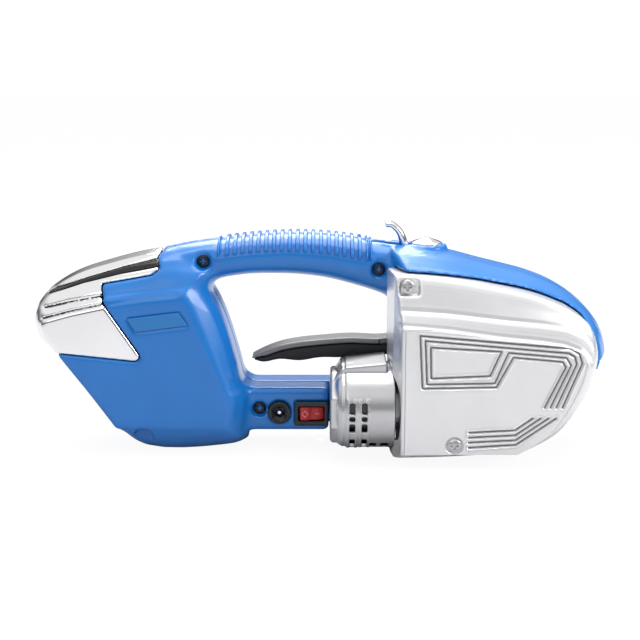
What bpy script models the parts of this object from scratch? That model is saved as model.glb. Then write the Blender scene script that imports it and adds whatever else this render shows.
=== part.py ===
"""Battery strapping tool, modelled as an assembly of separate pieces.

Lengths in this file are millimetres and are scaled to metres when a mesh is made.
+X runs from the battery end to the nose, -Y is the side with the silver drive cover,
+Z is up, and the origin is on the surface the tool stands on, under the middle of its box.
The two housing halves meet on the plane Y = 0.
"""
import math

import bmesh
import bpy
import numpy as np

MM = 0.001

# ---------------------------------------------------------------- driving dimensions
HALF_LENGTH = 175.0
HALF_WIDTH = 60.0
GAP = 0.3                    # clearance between neighbouring solids
SPLIT = 0.15                 # each housing half stops this far from Y = 0
SHELL = 3.0                  # housing wall
HANDLE_HALF_WIDTH = 19.0
BOX_HALF_WIDTH = 33.0
BAR_BOTTOM, BAR_TOP = 11.4, 38.0
COVER_WALL = 2.2
COVER_RIM_Y, COVER_EDGE_Y = -20.3, -46.5
COVER_SHOULDER_Y, COVER_FACE_Y = -54.0, -HALF_WIDTH

MOTOR_Y, MOTOR_Z = -30.0, 31.5
MOTOR_COVER_RADIUS, MOTOR_COVER_WALL = 26.0, 2.0
CROSS_X, CROSS_Z = 76.0, MOTOR_Z          # cross shaft, parallel to Y
CROSS_RADIUS, BORE_CLEARANCE = 4.5, 0.3
PINION_RADIUS, BEVEL_RADIUS = 8.0, 18.0
ARM_GEAR_RADIUS, WHEEL_GEAR_RADIUS = 12.7, 15.0
WHEEL_X, WHEEL_Z, WHEEL_RADIUS = 102.5, 22.3, 13.5
WHEEL_SHAFT_RADIUS = 4.0
LEVER_X, LEVER_Z = 50.5, 62.0             # lift lever pivot, parallel to Y
NOSE_X, NOSE_Z = 59.7, 55.9               # roller on the lever's short end
TAIL_X, TAIL_Z = 56.5, 50.0               # pin on the swing arm's tail
ROLLER_RADIUS = 3.0
ECCENTRIC_X, ECCENTRIC_Z = 132.0, 46.0    # eccentric shaft, parallel to Y
ECCENTRIC_THROW, ECCENTRIC_RADIUS, JAW_TRAVEL = 1.0, 5.5, 1.0
WELD_PULLEY_RADIUS, SMALL_PULLEY_RADIUS = 15.2, 8.0
BELT_THICKNESS = 1.6
WELD_LEVER_X, WELD_LEVER_Z = 50.5, 114.0
WELD_ARM = 10.0
LINK_BOTTOM, LINK_TOP = 102.0, 106.0
CRANK_X, CRANK_Z = 112.0, 86.0
CRANK_ARM = 18.0
BUTTON_X, BUTTON_RADIUS, RING_RADIUS, RING_TOP = 64.5, 9.5, 12.6, 125.2
BASE_TOP = 5.0
STRAP_TOP = 8.0                           # top of the gripper plate

MAIN_PLATE_Y = (-13.0, -8.0)
OUTER_PLATE_Y = (44.0, 48.0)
BELT_Y = (-50.0, -42.0)
HANDLE_SCREWS = ((-70.8, 116.4), (34.8, 111.5))
BAR_SCREW = (-37.7, 24.9)
JACK_X, JACK_Z = -25.5, 23.3
SWITCH_X, SWITCH_Z = -5.9, 22.6
COVER_SCREW_UP = (50.0, 107.0)
COVER_SCREW_LOW = (78.0, 14.4)

FINISHES = {
    "blue": ((0.035, 0.19, 0.55), 0.32, 0.0),
    "chrome": ((0.86, 0.86, 0.87), 0.08, 1.0),
    "satin_silver": ((0.68, 0.69, 0.70), 0.34, 0.9),
    "cast_alloy": ((0.52, 0.53, 0.55), 0.5, 0.9),
    "steel": ((0.45, 0.46, 0.48), 0.35, 1.0),
    "dark_steel": ((0.12, 0.12, 0.13), 0.4, 1.0),
    "black": ((0.012, 0.012, 0.013), 0.45, 0.0),
    "red": ((0.45, 0.01, 0.01), 0.25, 0.0),
    "label": ((0.055, 0.21, 0.5), 0.55, 0.0),
    "board": ((0.02, 0.18, 0.06), 0.5, 0.0),
    "wrap": ((0.02, 0.1, 0.3), 0.4, 0.0),
    "belt": ((0.02, 0.02, 0.02), 0.7, 0.0),
    "bronze": ((0.5, 0.3, 0.12), 0.35, 1.0),
}


# ---------------------------------------------------------------- scene and mesh helpers
def clear_scene():
    for item in list(bpy.data.objects):
        bpy.data.objects.remove(item, do_unlink=True)


def finish_material(finish):
    material = bpy.data.materials.get(finish)
    if material is None:
        colour, roughness, metallic = FINISHES[finish]
        material = bpy.data.materials.new(finish)
        material.use_nodes = True
        shader = material.node_tree.nodes["Principled BSDF"]
        shader.inputs["Base Color"].default_value = (*colour, 1.0)
        shader.inputs["Roughness"].default_value = roughness
        shader.inputs["Metallic"].default_value = metallic
    return material


def make(name, vertices, faces, finish, pivot=(0.0, 0.0, 0.0)):
    """Turn millimetre points and faces into an object whose origin is at pivot."""
    points = (np.asarray(vertices, dtype=float) - np.asarray(pivot)) * MM
    mesh = bpy.data.meshes.new(name)
    mesh.from_pydata(points.tolist(), [], [list(face) for face in faces])
    settle(mesh)
    mesh.materials.append(finish_material(finish))
    piece = bpy.data.objects.new(name, mesh)
    piece.location = [value * MM for value in pivot]
    bpy.context.collection.objects.link(piece)
    return piece


def settle(mesh):
    """Flat triangles, facing outwards."""
    edit = bmesh.new()
    edit.from_mesh(mesh)
    bmesh.ops.remove_doubles(edit, verts=edit.verts, dist=0.0005 * MM)
    bmesh.ops.dissolve_limit(edit, angle_limit=math.radians(0.2), verts=edit.verts, edges=edit.edges)
    bmesh.ops.triangulate(edit, faces=edit.faces)
    bmesh.ops.recalc_face_normals(edit, faces=edit.faces)
    edit.to_mesh(mesh)
    edit.free()


def smooth(piece, degrees=32.0):
    piece.data.shade_smooth()
    piece.data.set_sharp_from_angle(angle=math.radians(degrees))
    return piece


def combine(piece, tools, operation):
    """Apply one Boolean per tool to piece, then remove the tools."""
    for tool in tools:
        modifier = piece.modifiers.new("shape", "BOOLEAN")
        modifier.operation = operation
        modifier.solver = "EXACT"
        modifier.object = tool
        bpy.context.view_layer.update()
        graph = bpy.context.evaluated_depsgraph_get()
        result = bpy.data.meshes.new_from_object(piece.evaluated_get(graph))
        piece.modifiers.clear()
        piece.data = result
        bpy.data.objects.remove(tool, do_unlink=True)
        settle(piece.data)
    return piece


def cut(piece, *tools):
    return combine(piece, tools, "DIFFERENCE")


def join(piece, *tools):
    return combine(piece, tools, "UNION")


def loft_faces(ring_count, point_count):
    faces = []
    for ring in range(ring_count - 1):
        low, high = ring * point_count, (ring + 1) * point_count
        for i in range(point_count):
            j = (i + 1) % point_count
            faces.append((low + i, low + j, high + j, high + i))
    faces.append(tuple(range(point_count)))
    faces.append(tuple(range((ring_count - 1) * point_count, ring_count * point_count)))
    return faces


def loft(name, rings, finish, pivot=(0.0, 0.0, 0.0)):
    """Closed solid through rings that have the same number of points."""
    rings = np.asarray(rings, dtype=float)
    count, points = rings.shape[:2]
    return make(name, rings.reshape(-1, 3), loft_faces(count, points), finish, pivot)


def flat_ring(outline, y):
    outline = np.asarray(outline, dtype=float)
    return np.column_stack([outline[:, 0], np.full(len(outline), y), outline[:, 1]])


def plate(name, outline, y_span, finish, pivot=(0.0, 0.0, 0.0)):
    """Prism of an XZ outline between two Y values."""
    return loft(name, [flat_ring(outline, y) for y in y_span], finish, pivot)


def box(name, low, high, finish="steel", pivot=(0.0, 0.0, 0.0)):
    outline = [(low[0], low[2]), (high[0], low[2]), (high[0], high[2]), (low[0], high[2])]
    return plate(name, outline, (low[1], high[1]), finish, pivot)


def turned(name, profile, centre, axis, finish, segments=24, pivot=None):
    """Solid of revolution: profile holds (distance along the axis, radius) pairs.

    A closed profile (first pair repeated last) makes a ring; an open one is capped.
    """
    profile = np.asarray(profile, dtype=float)
    closed = bool(np.allclose(profile[0], profile[-1]))
    if closed:
        profile = profile[:-1]
    angles = np.linspace(0.0, 2.0 * math.pi, segments, endpoint=False)
    order = {"X": (1, 2, 0), "Y": (2, 0, 1), "Z": (0, 1, 2)}[axis]
    rings = np.zeros((len(profile), segments, 3))
    rings[:, :, order[0]] = profile[:, 1:2] * np.cos(angles)
    rings[:, :, order[1]] = profile[:, 1:2] * np.sin(angles)
    rings[:, :, order[2]] = profile[:, 0:1]
    points = rings.reshape(-1, 3) + np.asarray(centre, dtype=float)
    faces = loft_faces(len(profile), segments)
    if closed:
        faces = faces[:-2]
        last = (len(profile) - 1) * segments
        for i in range(segments):
            j = (i + 1) % segments
            faces.append((last + i, last + j, j, i))
    piece = make(name, points, faces, finish, centre if pivot is None else pivot)
    return smooth(piece)


def rod(name, radius, span, centre, axis, finish="steel", segments=14, pivot=None):
    return turned(name, [(span[0], radius), (span[1], radius)], centre, axis, finish, segments, pivot)


def ring(name, outer, inner, span, centre, axis, finish="steel", segments=20, pivot=None):
    low, high = span
    profile = [(low, inner), (low, outer), (high, outer), (high, inner), (low, inner)]
    return turned(name, profile, centre, axis, finish, segments, pivot)


def coil(name, radius, wire, span, turns, centre, axis, finish="steel", pivot=None):
    """Round-wire helix with flat ends."""
    steps, sides = int(turns * 11), 4
    order = {"Y": (2, 0, 1), "Z": (0, 1, 2)}[axis]
    rings = []
    for i in range(steps + 1):
        t = i / steps
        turn = 2.0 * math.pi * turns * t
        along = span[0] + (span[1] - span[0]) * t
        ring_points = np.zeros((sides, 3))
        for k in range(sides):
            angle = 2.0 * math.pi * k / sides
            reach = radius + wire * math.cos(angle)
            ring_points[k, order[0]] = reach * math.cos(turn)
            ring_points[k, order[1]] = reach * math.sin(turn)
            ring_points[k, order[2]] = along + wire * math.sin(angle)
        rings.append(ring_points + np.asarray(centre, dtype=float))
    return smooth(loft(name, rings, finish, centre if pivot is None else pivot), 80.0)


def inset(outline, distance):
    """Move each corner of a closed outline inwards along the mean of its edge normals."""
    outline = np.asarray(outline, dtype=float)
    ahead = np.roll(outline, -1, axis=0) - outline
    ahead /= np.linalg.norm(ahead, axis=1)[:, None]
    behind = np.roll(ahead, 1, axis=0)
    turn = 0.5 * np.sum(np.roll(outline, -1, 0)[:, 0] * outline[:, 1]
                        - outline[:, 0] * np.roll(outline, -1, 0)[:, 1])
    side = 1.0 if turn < 0 else -1.0
    normals = np.column_stack([-(ahead + behind)[:, 1], (ahead + behind)[:, 0]]) * side
    normals /= np.linalg.norm(normals, axis=1)[:, None]
    stretch = 1.0 / np.clip(np.abs(np.sum(normals * np.column_stack(
        [-ahead[:, 1], ahead[:, 0]]), axis=1)), 0.6, 1.0)
    return outline + normals * (distance * stretch)[:, None]


def capsule(start, end, start_radius, end_radius, steps=8):
    """Outline of two discs and their common tangents."""
    start, end = np.asarray(start, dtype=float), np.asarray(end, dtype=float)
    reach = end - start
    heading = math.atan2(reach[1], reach[0])
    lean = math.acos((start_radius - end_radius) / np.hypot(*reach))
    points = []
    for centre, radius, first, last in (
            (end, end_radius, -lean, lean),
            (start, start_radius, lean, 2.0 * math.pi - lean)):
        for i in range(steps + 1):
            angle = heading + first + (last - first) * i / steps
            points.append((centre[0] + radius * math.cos(angle), centre[1] + radius * math.sin(angle)))
    return points


def arc(centre, radius, first, last, steps):
    angles = np.radians(np.linspace(first, last, steps + 1))
    return [(centre[0] + radius * math.cos(a), centre[1] + radius * math.sin(a)) for a in angles]


# ---------------------------------------------------------------- housing shapes
# Battery body: each row is a corner at the middle plane, the same corner on the flat side
# panel, and the zone whose rounding it follows.
BODY_CORNERS = (
    (-66.0, 117.0, -82.8, 98.5, "top"), (-84.0, 123.5, -90.0, 97.9, "top"),
    (-95.6, 122.7, -98.0, 97.1, "top"), (-104.5, 121.5, -106.0, 96.3, "top"),
    (-129.5, 115.3, -128.0, 94.3, "top"), (-148.2, 109.1, -146.0, 89.5, "top"),
    (-160.5, 102.2, -156.0, 86.6, "top"), (-167.1, 97.2, -161.0, 85.1, "top"),
    (-172.4, 90.3, -164.5, 83.5, "top"), (-HALF_LENGTH, 82.1, -166.0, 80.0, "top"),
    (-174.3, 73.8, -165.2, 75.0, "top"), (-169.0, 66.0, -161.0, 68.0, "top"),
    (-157.0, 60.5, -157.5, 62.0, "rear"), (-141.0, 39.6, -141.5, 40.6, "rear"),
    (-124.0, 14.0, -124.5, 17.3, "rear"), (-116.0, 4.0, -112.0, 17.1, "bottom"),
    (-108.0, 0.0, -104.0, 16.9, "bottom"), (-62.0, 0.0, -66.0, 16.2, "bottom"),
    (-50.0, 2.5, -60.0, 16.1, "bottom"), (-44.8, 5.3, -58.1, 16.0, "bottom"),
    (-44.4, 20.0, -56.6, 24.0, "inner"), (-44.4, 37.3, -56.0, 34.8, "inner"),
    (-47.5, 41.8, -57.9, 39.3, "inner"), (-50.5, 52.8, -62.1, 49.3, "inner"),
    (-56.4, 73.8, -70.3, 68.8, "inner"), (-62.4, 89.6, -77.4, 85.7, "inner"),
    (-67.8, 100.3, -81.5, 95.5, "inner"))
# Share of the way from the middle shape to the side shape, by distance from the middle plane.
BODY_LEVELS = (0.0, 12.0, 19.0, 25.0, 29.0, 31.5, BOX_HALF_WIDTH)
BODY_ROUNDING = {
    "top": (0.0, 0.06, 0.22, 0.5, 0.78, 0.9, 1.0),
    "rear": (0.0, 0.0, 0.1, 0.3, 0.6, 0.8, 1.0),
    "bottom": (0.0, 0.0, 0.18, 0.42, 0.66, 0.85, 1.0),
    "inner": (0.0, 0.0, 0.0, 0.15, 0.5, 0.8, 1.0)}

HANDLE_TOP = ((-100.0, 121.5), (-80.2, 125.8), (-63.0, 128.3), (-43.5, 130.7), (-12.5, 132.3),
              (17.5, 130.1), (33.1, 127.6), (48.5, 125.2), (60.0, 123.3))
HANDLE_UNDER = ((-100.0, 99.0), (-80.2, 101.0), (-68.3, 102.8), (-56.0, 105.3), (-43.5, 106.9),
                (-31.5, 107.2), (-12.5, 106.6), (5.5, 104.1), (17.9, 100.9), (30.2, 97.2),
                (39.5, 94.0), (60.0, 92.0))

HOOD_CROWN = ((42.0, 126.1), (48.5, 125.2), (79.1, 120.2), (97.5, 115.3), (110.0, 112.2),
              (128.5, 107.2), (141.1, 102.2), (153.5, 94.7), (163.3, 85.9), (169.9, 77.0),
              (173.4, 67.5), (HALF_LENGTH, 58.5), (173.0, 51.0))
HOOD_BOTTOM = 45.0
NEAR_LEVELS = ((SPLIT, 0.0), (12.0, 0.6), (24.0, 3.0), (34.0, 6.5), (42.0, 10.0), (47.0, 13.5))
FAR_LEVELS = ((SPLIT, 0.0), (12.0, 0.4), (26.0, 2.2), (38.0, 5.5), (47.0, 9.5), (52.0, 13.5), (54.0, 17.5))

CAP_REGION = ((-95.6, 140.0), (-95.6, 122.7), (-98.5, 118.0), (-96.5, 112.5), (-101.0, 109.3),
              (-131.0, 104.0), (-129.5, 93.7), (-108.1, 61.4), (-110.5, 58.3), (-157.5, 63.3),
              (-190.0, 66.0), (-190.0, 140.0))


def body_ring(side, y):
    """Battery body outline at distance y from the middle plane, on one side of it."""
    corners = []
    for mid_x, mid_z, side_x, side_z, zone in BODY_CORNERS:
        share = float(np.interp(y, BODY_LEVELS, BODY_ROUNDING[zone]))
        corners.append((mid_x + (side_x - mid_x) * share, mid_z + (side_z - mid_z) * share))
    return corners, side * y


def battery_body(name, levels, thickness=0.0):
    rings = []
    for signed in levels:
        outline, y = body_ring(math.copysign(1.0, signed), abs(signed))
        scale = (BOX_HALF_WIDTH - thickness) / BOX_HALF_WIDTH
        rings.append(flat_ring(inset(outline, thickness) if thickness else outline, y * scale))
    return loft(name, rings, "blue")


def smooth_value(points, x):
    """Cubic interpolation through (x, z) points with slopes from their neighbours."""
    points = np.asarray(points, dtype=float)
    slopes = np.gradient(points[:, 1], points[:, 0])
    i = int(np.clip(np.searchsorted(points[:, 0], x) - 1, 0, len(points) - 2))
    span = points[i + 1, 0] - points[i, 0]
    t = (x - points[i, 0]) / span
    rise, fall = t * t * (3.0 - 2.0 * t), 1.0 - t * t * (3.0 - 2.0 * t)
    return (fall * points[i, 1] + rise * points[i + 1, 1]
            + span * (t * (1.0 - t) ** 2 * slopes[i] - t * t * (1.0 - t) * slopes[i + 1]))


def handle(name, side, half_width, clearance, start, end, split):
    """Half of an oval bar that follows the handle's upper and lower lines."""
    rings = []
    for x in np.linspace(start, end, 12):
        top = smooth_value(HANDLE_TOP, x) - clearance
        under = smooth_value(HANDLE_UNDER, x) + clearance
        middle, reach = 0.5 * (top + under), 0.5 * (top - under)
        section = []
        for angle in np.radians(np.linspace(90.0, -90.0, 9)):
            across = abs(math.cos(angle)) ** 0.8 * half_width
            up = math.copysign(abs(math.sin(angle)) ** 0.8, math.sin(angle)) * reach
            section.append((x, side * max(split, across), middle + up))
        rings.append(section)
    return loft(name, rings, "blue")


def hood(name, side, levels, thickness, floor):
    rings = []
    for y, drop in levels:
        crown = np.asarray(HOOD_CROWN)
        back = max(0.0, y - HANDLE_HALF_WIDTH + 2.0) * 0.3
        outline = [(crown[0, 0] + back, floor)] + [tuple(p) for p in crown] + [(166.0, floor)]
        outline = np.asarray(outline)
        moved = inset(outline, drop + thickness)
        moved[0] = (crown[0, 0] + back + thickness, floor)
        moved[1, 0] = crown[0, 0] + back + thickness
        moved[-1, 1] = floor
        rings.append(flat_ring(moved, side * y))
    return loft(name, rings, "blue")


def half_disc(name, centre, radius, z_span, side):
    """Half cylinder about a vertical axis, on one side of the split plane."""
    points = arc((0.0, 0.0), radius, 0.0, 180.0, 14)
    rings = [[(centre + px, side * max(SPLIT, py), z) for px, py in points] for z in z_span]
    return loft(name, rings, "blue")


def screw_well(position, side, depth=5.0):
    x, z = position
    tools = [rod("hole", 2.1, (-24.0, 10.0), (x, 0.0, z), "Y")]
    if side < 0:
        tools.append(rod("well", 4.2, (-24.0, -HANDLE_HALF_WIDTH + depth), (x, 0.0, z), "Y"))
    return tools


def cap_cutter(grow):
    return plate("cap_region", inset(CAP_REGION, -grow), (-70.0, 70.0), "blue")


def housing(name, side):
    """One blue half: battery box, handle, lower bar and hood, hollow and open at Y = 0."""
    levels = [side * max(SPLIT, y) for y in BODY_LEVELS]
    near = side < 0
    shell = battery_body(name, levels)
    bar_end = 4.9 if near else 44.0
    bar = box("bar", (-47.0, side * SPLIT, BAR_BOTTOM), (bar_end, side * HANDLE_HALF_WIDTH, BAR_TOP))
    hood_levels = NEAR_LEVELS if near else FAR_LEVELS
    join(shell, handle("grip", side, HANDLE_HALF_WIDTH, 0.0, -92.0, 58.0, SPLIT), bar,
         hood("hood", side, hood_levels, 0.0, HOOD_BOTTOM),
         half_disc("boss", BUTTON_X, RING_RADIUS, (114.0, RING_TOP), side))

    inner_levels = [(y - SHELL if y > 30.0 else y, drop) for y, drop in hood_levels]
    inner_levels[0] = (-5.0, 0.0)
    cut(shell,
        battery_body("box_hollow", [-side * 12.0] + levels, SHELL),
        hood("hood_hollow", side, inner_levels, SHELL, HOOD_BOTTOM - 6.0),
        handle("grip_hollow", side, 14.0, 5.0, -88.0, 60.0, -5.0),
        box("bar_hollow", (-50.0, -side * 5.0, BAR_BOTTOM + SHELL), (60.0, side * 16.0, BAR_TOP - SHELL)))
    join(shell, *[
        rod("boss", 5.6, sorted((side * SPLIT, side * 17.2)), (x, 0.0, z), "Y", "blue")
        for x, z in HANDLE_SCREWS + (BAR_SCREW,)])
    for position in HANDLE_SCREWS + (BAR_SCREW,):
        cut(shell, *screw_well(position, side))
    cut(shell, cap_cutter(GAP),
        rod("button_hole", BUTTON_RADIUS + 0.4, (106.0, 130.0), (BUTTON_X, 0.0, 0.0), "Z"),
        box("lever_slot", (33.0, -4.6, 112.0), (54.6, 4.6, 132.0)),
        box("lever_gap", (36.0, -9.8, 40.0), (47.0, 9.8, 84.0)))
    if near:
        cut(shell, plate("cover_space", inset(cover_edge(), -0.4), (-70.0, COVER_RIM_Y + 0.4), "blue"),
            box("motor_gap", (36.0, -22.0, 40.0), (46.4, -3.0, 64.0)),
            rod("jack_hole", 5.9, (-25.0, -10.0), (JACK_X, 0.0, JACK_Z), "Y"),
            box("switch_hole", (-15.2, -25.0, 16.2), (3.2, -12.0, 29.0)))
    return smooth(shell, 28.0)


def end_cap():
    levels = [-y for y in reversed(BODY_LEVELS)] + list(BODY_LEVELS[1:])
    cap = battery_body("battery_end_cap", levels)
    combine(cap, (cap_cutter(0.0),), "INTERSECT")
    cut(cap, battery_body("hollow", levels, SHELL - 0.6))
    cap.data.materials.clear()
    cap.data.materials.append(finish_material("chrome"))
    return smooth(cap, 28.0)


# ---------------------------------------------------------------- drive side
COVER_TOP = ((42.5, 114.3), (60.0, 113.0), (74.5, 111.4), (103.5, 106.2), (129.5, 99.8), (145.0, 93.4))
COVER_SIDE = ((156.2, 84.7), (160.5, 75.7), (162.4, 66.5), (161.6, 57.7), (157.5, 45.6),
              (149.5, 30.4), (141.3, 19.9), (129.8, 11.9), (119.3, 6.9), (94.5, 5.1), (70.5, 3.8),
              (46.2, 3.2))
COVER_LEFT = ((43.6, 30.0), (42.6, 60.0), (41.6, 95.0))
SHOULDER_TOP = ((46.5, 93.8), (60.0, 93.1), (74.5, 92.0), (103.5, 88.5), (129.0, 85.9), (141.0, 84.4))
FACE_TOP = ((46.6, 85.8), (60.0, 84.8), (74.1, 83.5), (103.0, 79.3), (128.0, 76.8), (139.5, 74.8))


def cover_edge():
    return list(COVER_TOP + COVER_SIDE + COVER_LEFT)


def cover_rings(wall):
    """Outlines from the rim to the flat face; each step follows its own upper line."""
    outlines = []
    edge = np.asarray(cover_edge())
    rim = edge.copy()
    rim[-3:, 0] -= (3.6, 2.8, 2.2)
    rim[0, 0] -= 2.2
    rim[:2, 1] -= (9.0, 4.0)
    rim[len(COVER_TOP) + len(COVER_SIDE) - 1, 0] -= 4.0
    outlines.append((COVER_RIM_Y + (2.0 if wall else 0.0), rim))
    outlines.append((COVER_EDGE_Y, edge))
    for y, top, depth in ((COVER_SHOULDER_Y, SHOULDER_TOP, 2.2),
                          (COVER_FACE_Y + 1.2, FACE_TOP, 4.8),
                          (COVER_FACE_Y, FACE_TOP, 6.4)):
        step = inset(edge, depth)
        step[:len(top)] = top
        if y == COVER_FACE_Y:
            step[:len(top), 1] -= 1.6
        step[-3:, 0] = (47.2, 46.8, 46.6) if y < COVER_SHOULDER_Y else (46.2, 45.8, 45.4)
        step[-1, 1] = top[0][1] - 9.0
        outlines.append((y, step))
    if not wall:
        return [flat_ring(outline, y) for y, outline in outlines]
    return [flat_ring(inset(outline, wall), y + (0.0 if i == 0 else wall))
            for i, (y, outline) in enumerate(outlines)]


def drive_cover():
    low = (COVER_SCREW_LOW[0], 0.0, COVER_SCREW_LOW[1])
    cover = loft("drive_cover", cover_rings(0.0), "satin_silver")
    cut(cover, loft("hollow", cover_rings(COVER_WALL), "satin_silver"))
    join(cover, rod("seat", 6.4, (COVER_FACE_Y + 1.0, COVER_FACE_Y + 5.0), low, "Y"))
    cut(cover,
        rod("motor_hole", MOTOR_COVER_RADIUS + 0.5, (30.0, 50.0), (0.0, MOTOR_Y, MOTOR_Z), "X", segments=28),
        box("lever_gap", (30.0, -22.0, 40.0), (46.0, -14.0, 70.0)),
        rod("upper_recess", 4.6, (-60.0, -46.6), (COVER_SCREW_UP[0], 0.0, COVER_SCREW_UP[1]), "Y"),
        rod("upper_hole", 2.3, (-60.0, -12.0), (COVER_SCREW_UP[0], 0.0, COVER_SCREW_UP[1]), "Y"),
        rod("lower_recess", 5.0, (-70.0, COVER_FACE_Y + 2.7), low, "Y"),
        rod("lower_hole", 2.3, (-70.0, -50.0), low, "Y"))
    return smooth(cover, 24.0)


def motor_group():
    axis = (0.0, MOTOR_Y, MOTOR_Z)
    outer, wall = MOTOR_COVER_RADIUS, MOTOR_COVER_WALL
    cover = turned("motor_cover", [
        (5.3, 18.5), (7.0, 22.0), (11.5, 23.6), (13.5, outer), (43.5, outer), (43.5, outer - wall),
        (14.3, outer - wall), (12.2, 21.8), (8.2, 20.4), (7.3, 17.5), (7.3, 4.0), (5.3, 4.0), (5.3, 18.5)],
        axis, "X", "chrome", 28, (0.0, 0.0, 0.0))
    roof = box("roof", (12.0, -38.0, 52.0), (39.3, -11.0, 62.0), "chrome")
    join(cover, cut(roof, rod("bore", outer - 0.5 * wall, (0.0, 60.0), axis, "X", segments=28)))
    for x in (17.0, 24.0):
        cut(cover, box("slot", (x, -60.0, 33.0), (x + 3.0, -50.0, 45.0)),
            box("slot", (x, -60.0, 14.0), (x + 3.0, -48.0, 29.0)))
    smooth(cover)

    turned("motor_can", [
        (12.3 + 2.4, 3.2), (14.7, 22.5), (43.9, 22.5), (43.9, 21.0), (16.2, 21.0), (16.2, 3.2), (14.7, 3.2)],
        axis, "X", "steel", 24, (0.0, 0.0, 0.0))
    pivot = (30.0, MOTOR_Y, MOTOR_Z)
    turned("rotor", [(-21.5, 2.5), (-11.0, 2.5), (-11.0, 15.0), (8.0, 15.0), (8.0, 2.5), (15.8, 2.5)],
           pivot, "X", "dark_steel", 24)
    fan = ring("cooling_fan", 6.0, 2.8, (-21.0, -16.0), pivot, "X", "black", 16)
    for i in range(6):
        angle = math.radians(60.0 * i)
        across, up = math.cos(angle), math.sin(angle)
        blade = []
        for x in (-20.6, -17.2):
            twist = 1.6 * (x + 18.9) / 1.7
            for reach, sign in ((5.0, -0.6), (15.5, -0.6), (15.5, 0.6), (5.0, 0.6)):
                side = sign + twist
                blade.append((pivot[0] + x, pivot[1] + across * reach - up * side,
                              pivot[2] + up * reach + across * side))
        join(fan, make("blade", blade, loft_faces(2, 4), "black"))
    ring("reduction_gearhead", 16.0, 3.4, (44.4, 54.0), axis, "X", "steel", 28, (0.0, 0.0, 0.0))


def bearing(name, centre, y_span):
    ring(name, 8.0, CROSS_RADIUS + BORE_CLEARANCE, y_span, centre, "Y", "steel", 20, (0.0, 0.0, 0.0))


def gear(name, radius, depth, teeth, bore, y_span, centre, finish="steel"):
    """Spur gear blank with square-shouldered teeth, cut to its tip circle."""
    outline = []
    for i in range(teeth):
        for share, reach in ((0.0, radius - depth), (0.22, radius), (0.5, radius), (0.72, radius - depth)):
            angle = 2.0 * math.pi * (i + share) / teeth
            outline.append((centre[0] + reach * math.cos(angle), centre[2] + reach * math.sin(angle)))
    piece = plate(name, outline, (centre[1] + y_span[0], centre[1] + y_span[1]), finish, centre)
    return cut(piece, rod("bore", bore, (y_span[0] - 1.0, y_span[1] + 1.0), centre, "Y"))


def drive_train():
    apex = (CROSS_X, MOTOR_Y, MOTOR_Z)
    cone = PINION_RADIUS / BEVEL_RADIUS
    pinion_pivot = (58.0, MOTOR_Y, MOTOR_Z)
    turned("bevel_pinion", [
        (-11.0, 3.0), (-0.8, 3.0), (-0.8, 6.0), (0.0, PINION_RADIUS - 0.4), (8.0, 10.0 * cone - 0.4)],
        pinion_pivot, "X", "steel", 18)
    centre = (CROSS_X, 0.0, CROSS_Z)
    bore = CROSS_RADIUS + BORE_CLEARANCE
    rod("cross_shaft", CROSS_RADIUS, (-51.0, 43.4), centre, "Y", "steel", 20)
    face = apex[1] + PINION_RADIUS + 0.4
    turned("bevel_gear", [
        (face - 3.6, bore), (face - 3.6, BEVEL_RADIUS - 3.6 / cone + 0.1), (face, BEVEL_RADIUS),
        (face + 3.0, BEVEL_RADIUS - 1.0), (face + 3.0, 9.0), (-14.0, 9.0), (-14.0, bore), (face - 3.6, bore)],
        centre, "Y", "steel", 28)
    gear("arm_drive_gear", ARM_GEAR_RADIUS, 2.0, 16, bore, (2.0, 10.0), centre)
    bearing("cross_bearing_inner", centre, (MAIN_PLATE_Y[0], MAIN_PLATE_Y[1]))
    bearing("cross_bearing_near", centre, (-40.0, -36.5))

    bracket = box("bearing_bracket", (67.0, -40.0, 15.0), (92.0, -36.5, 56.0), "cast_alloy")
    join(bracket, box("shelf", (67.0, -38.0, 52.0), (92.0, -13.3, 56.0)))
    cut(bracket, rod("seat", 8.3, (-45.0, -30.0), centre, "Y"))


def swing_arm_group():
    cross, wheel = (CROSS_X, 0.0, CROSS_Z), (WHEEL_X, 0.0, WHEEL_Z)
    arm = plate("swing_arm", capsule((CROSS_X, CROSS_Z), (WHEEL_X, WHEEL_Z), 9.0, 8.0), (12.0, 16.5),
                "cast_alloy", cross)
    join(arm, plate("tail", capsule((CROSS_X, CROSS_Z), (TAIL_X, TAIL_Z), 7.0, 4.6), (12.4, 16.0), "steel"),
         rod("tail_pin", ROLLER_RADIUS, (-6.0, 14.2), (TAIL_X, 0.0, TAIL_Z), "Y"))
    cut(arm, rod("cross_bore", CROSS_RADIUS + BORE_CLEARANCE, (5.0, 20.0), cross, "Y"),
        rod("wheel_bore", WHEEL_SHAFT_RADIUS + BORE_CLEARANCE, (5.0, 20.0), wheel, "Y"))
    rod("wheel_shaft", WHEEL_SHAFT_RADIUS, (1.0, 38.0), wheel, "Y", "steel", 18)
    bore = WHEEL_SHAFT_RADIUS + BORE_CLEARANCE
    gear("wheel_gear", WHEEL_GEAR_RADIUS, 2.0, 19, bore, (2.0, 10.0), wheel)
    gear("tension_wheel", WHEEL_RADIUS, 0.7, 24, bore, (20.0, 36.0), wheel, "dark_steel")
    coil("arm_spring", 7.0, 0.7, (18.5, 26.0), 3.5, cross, "Y")


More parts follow.
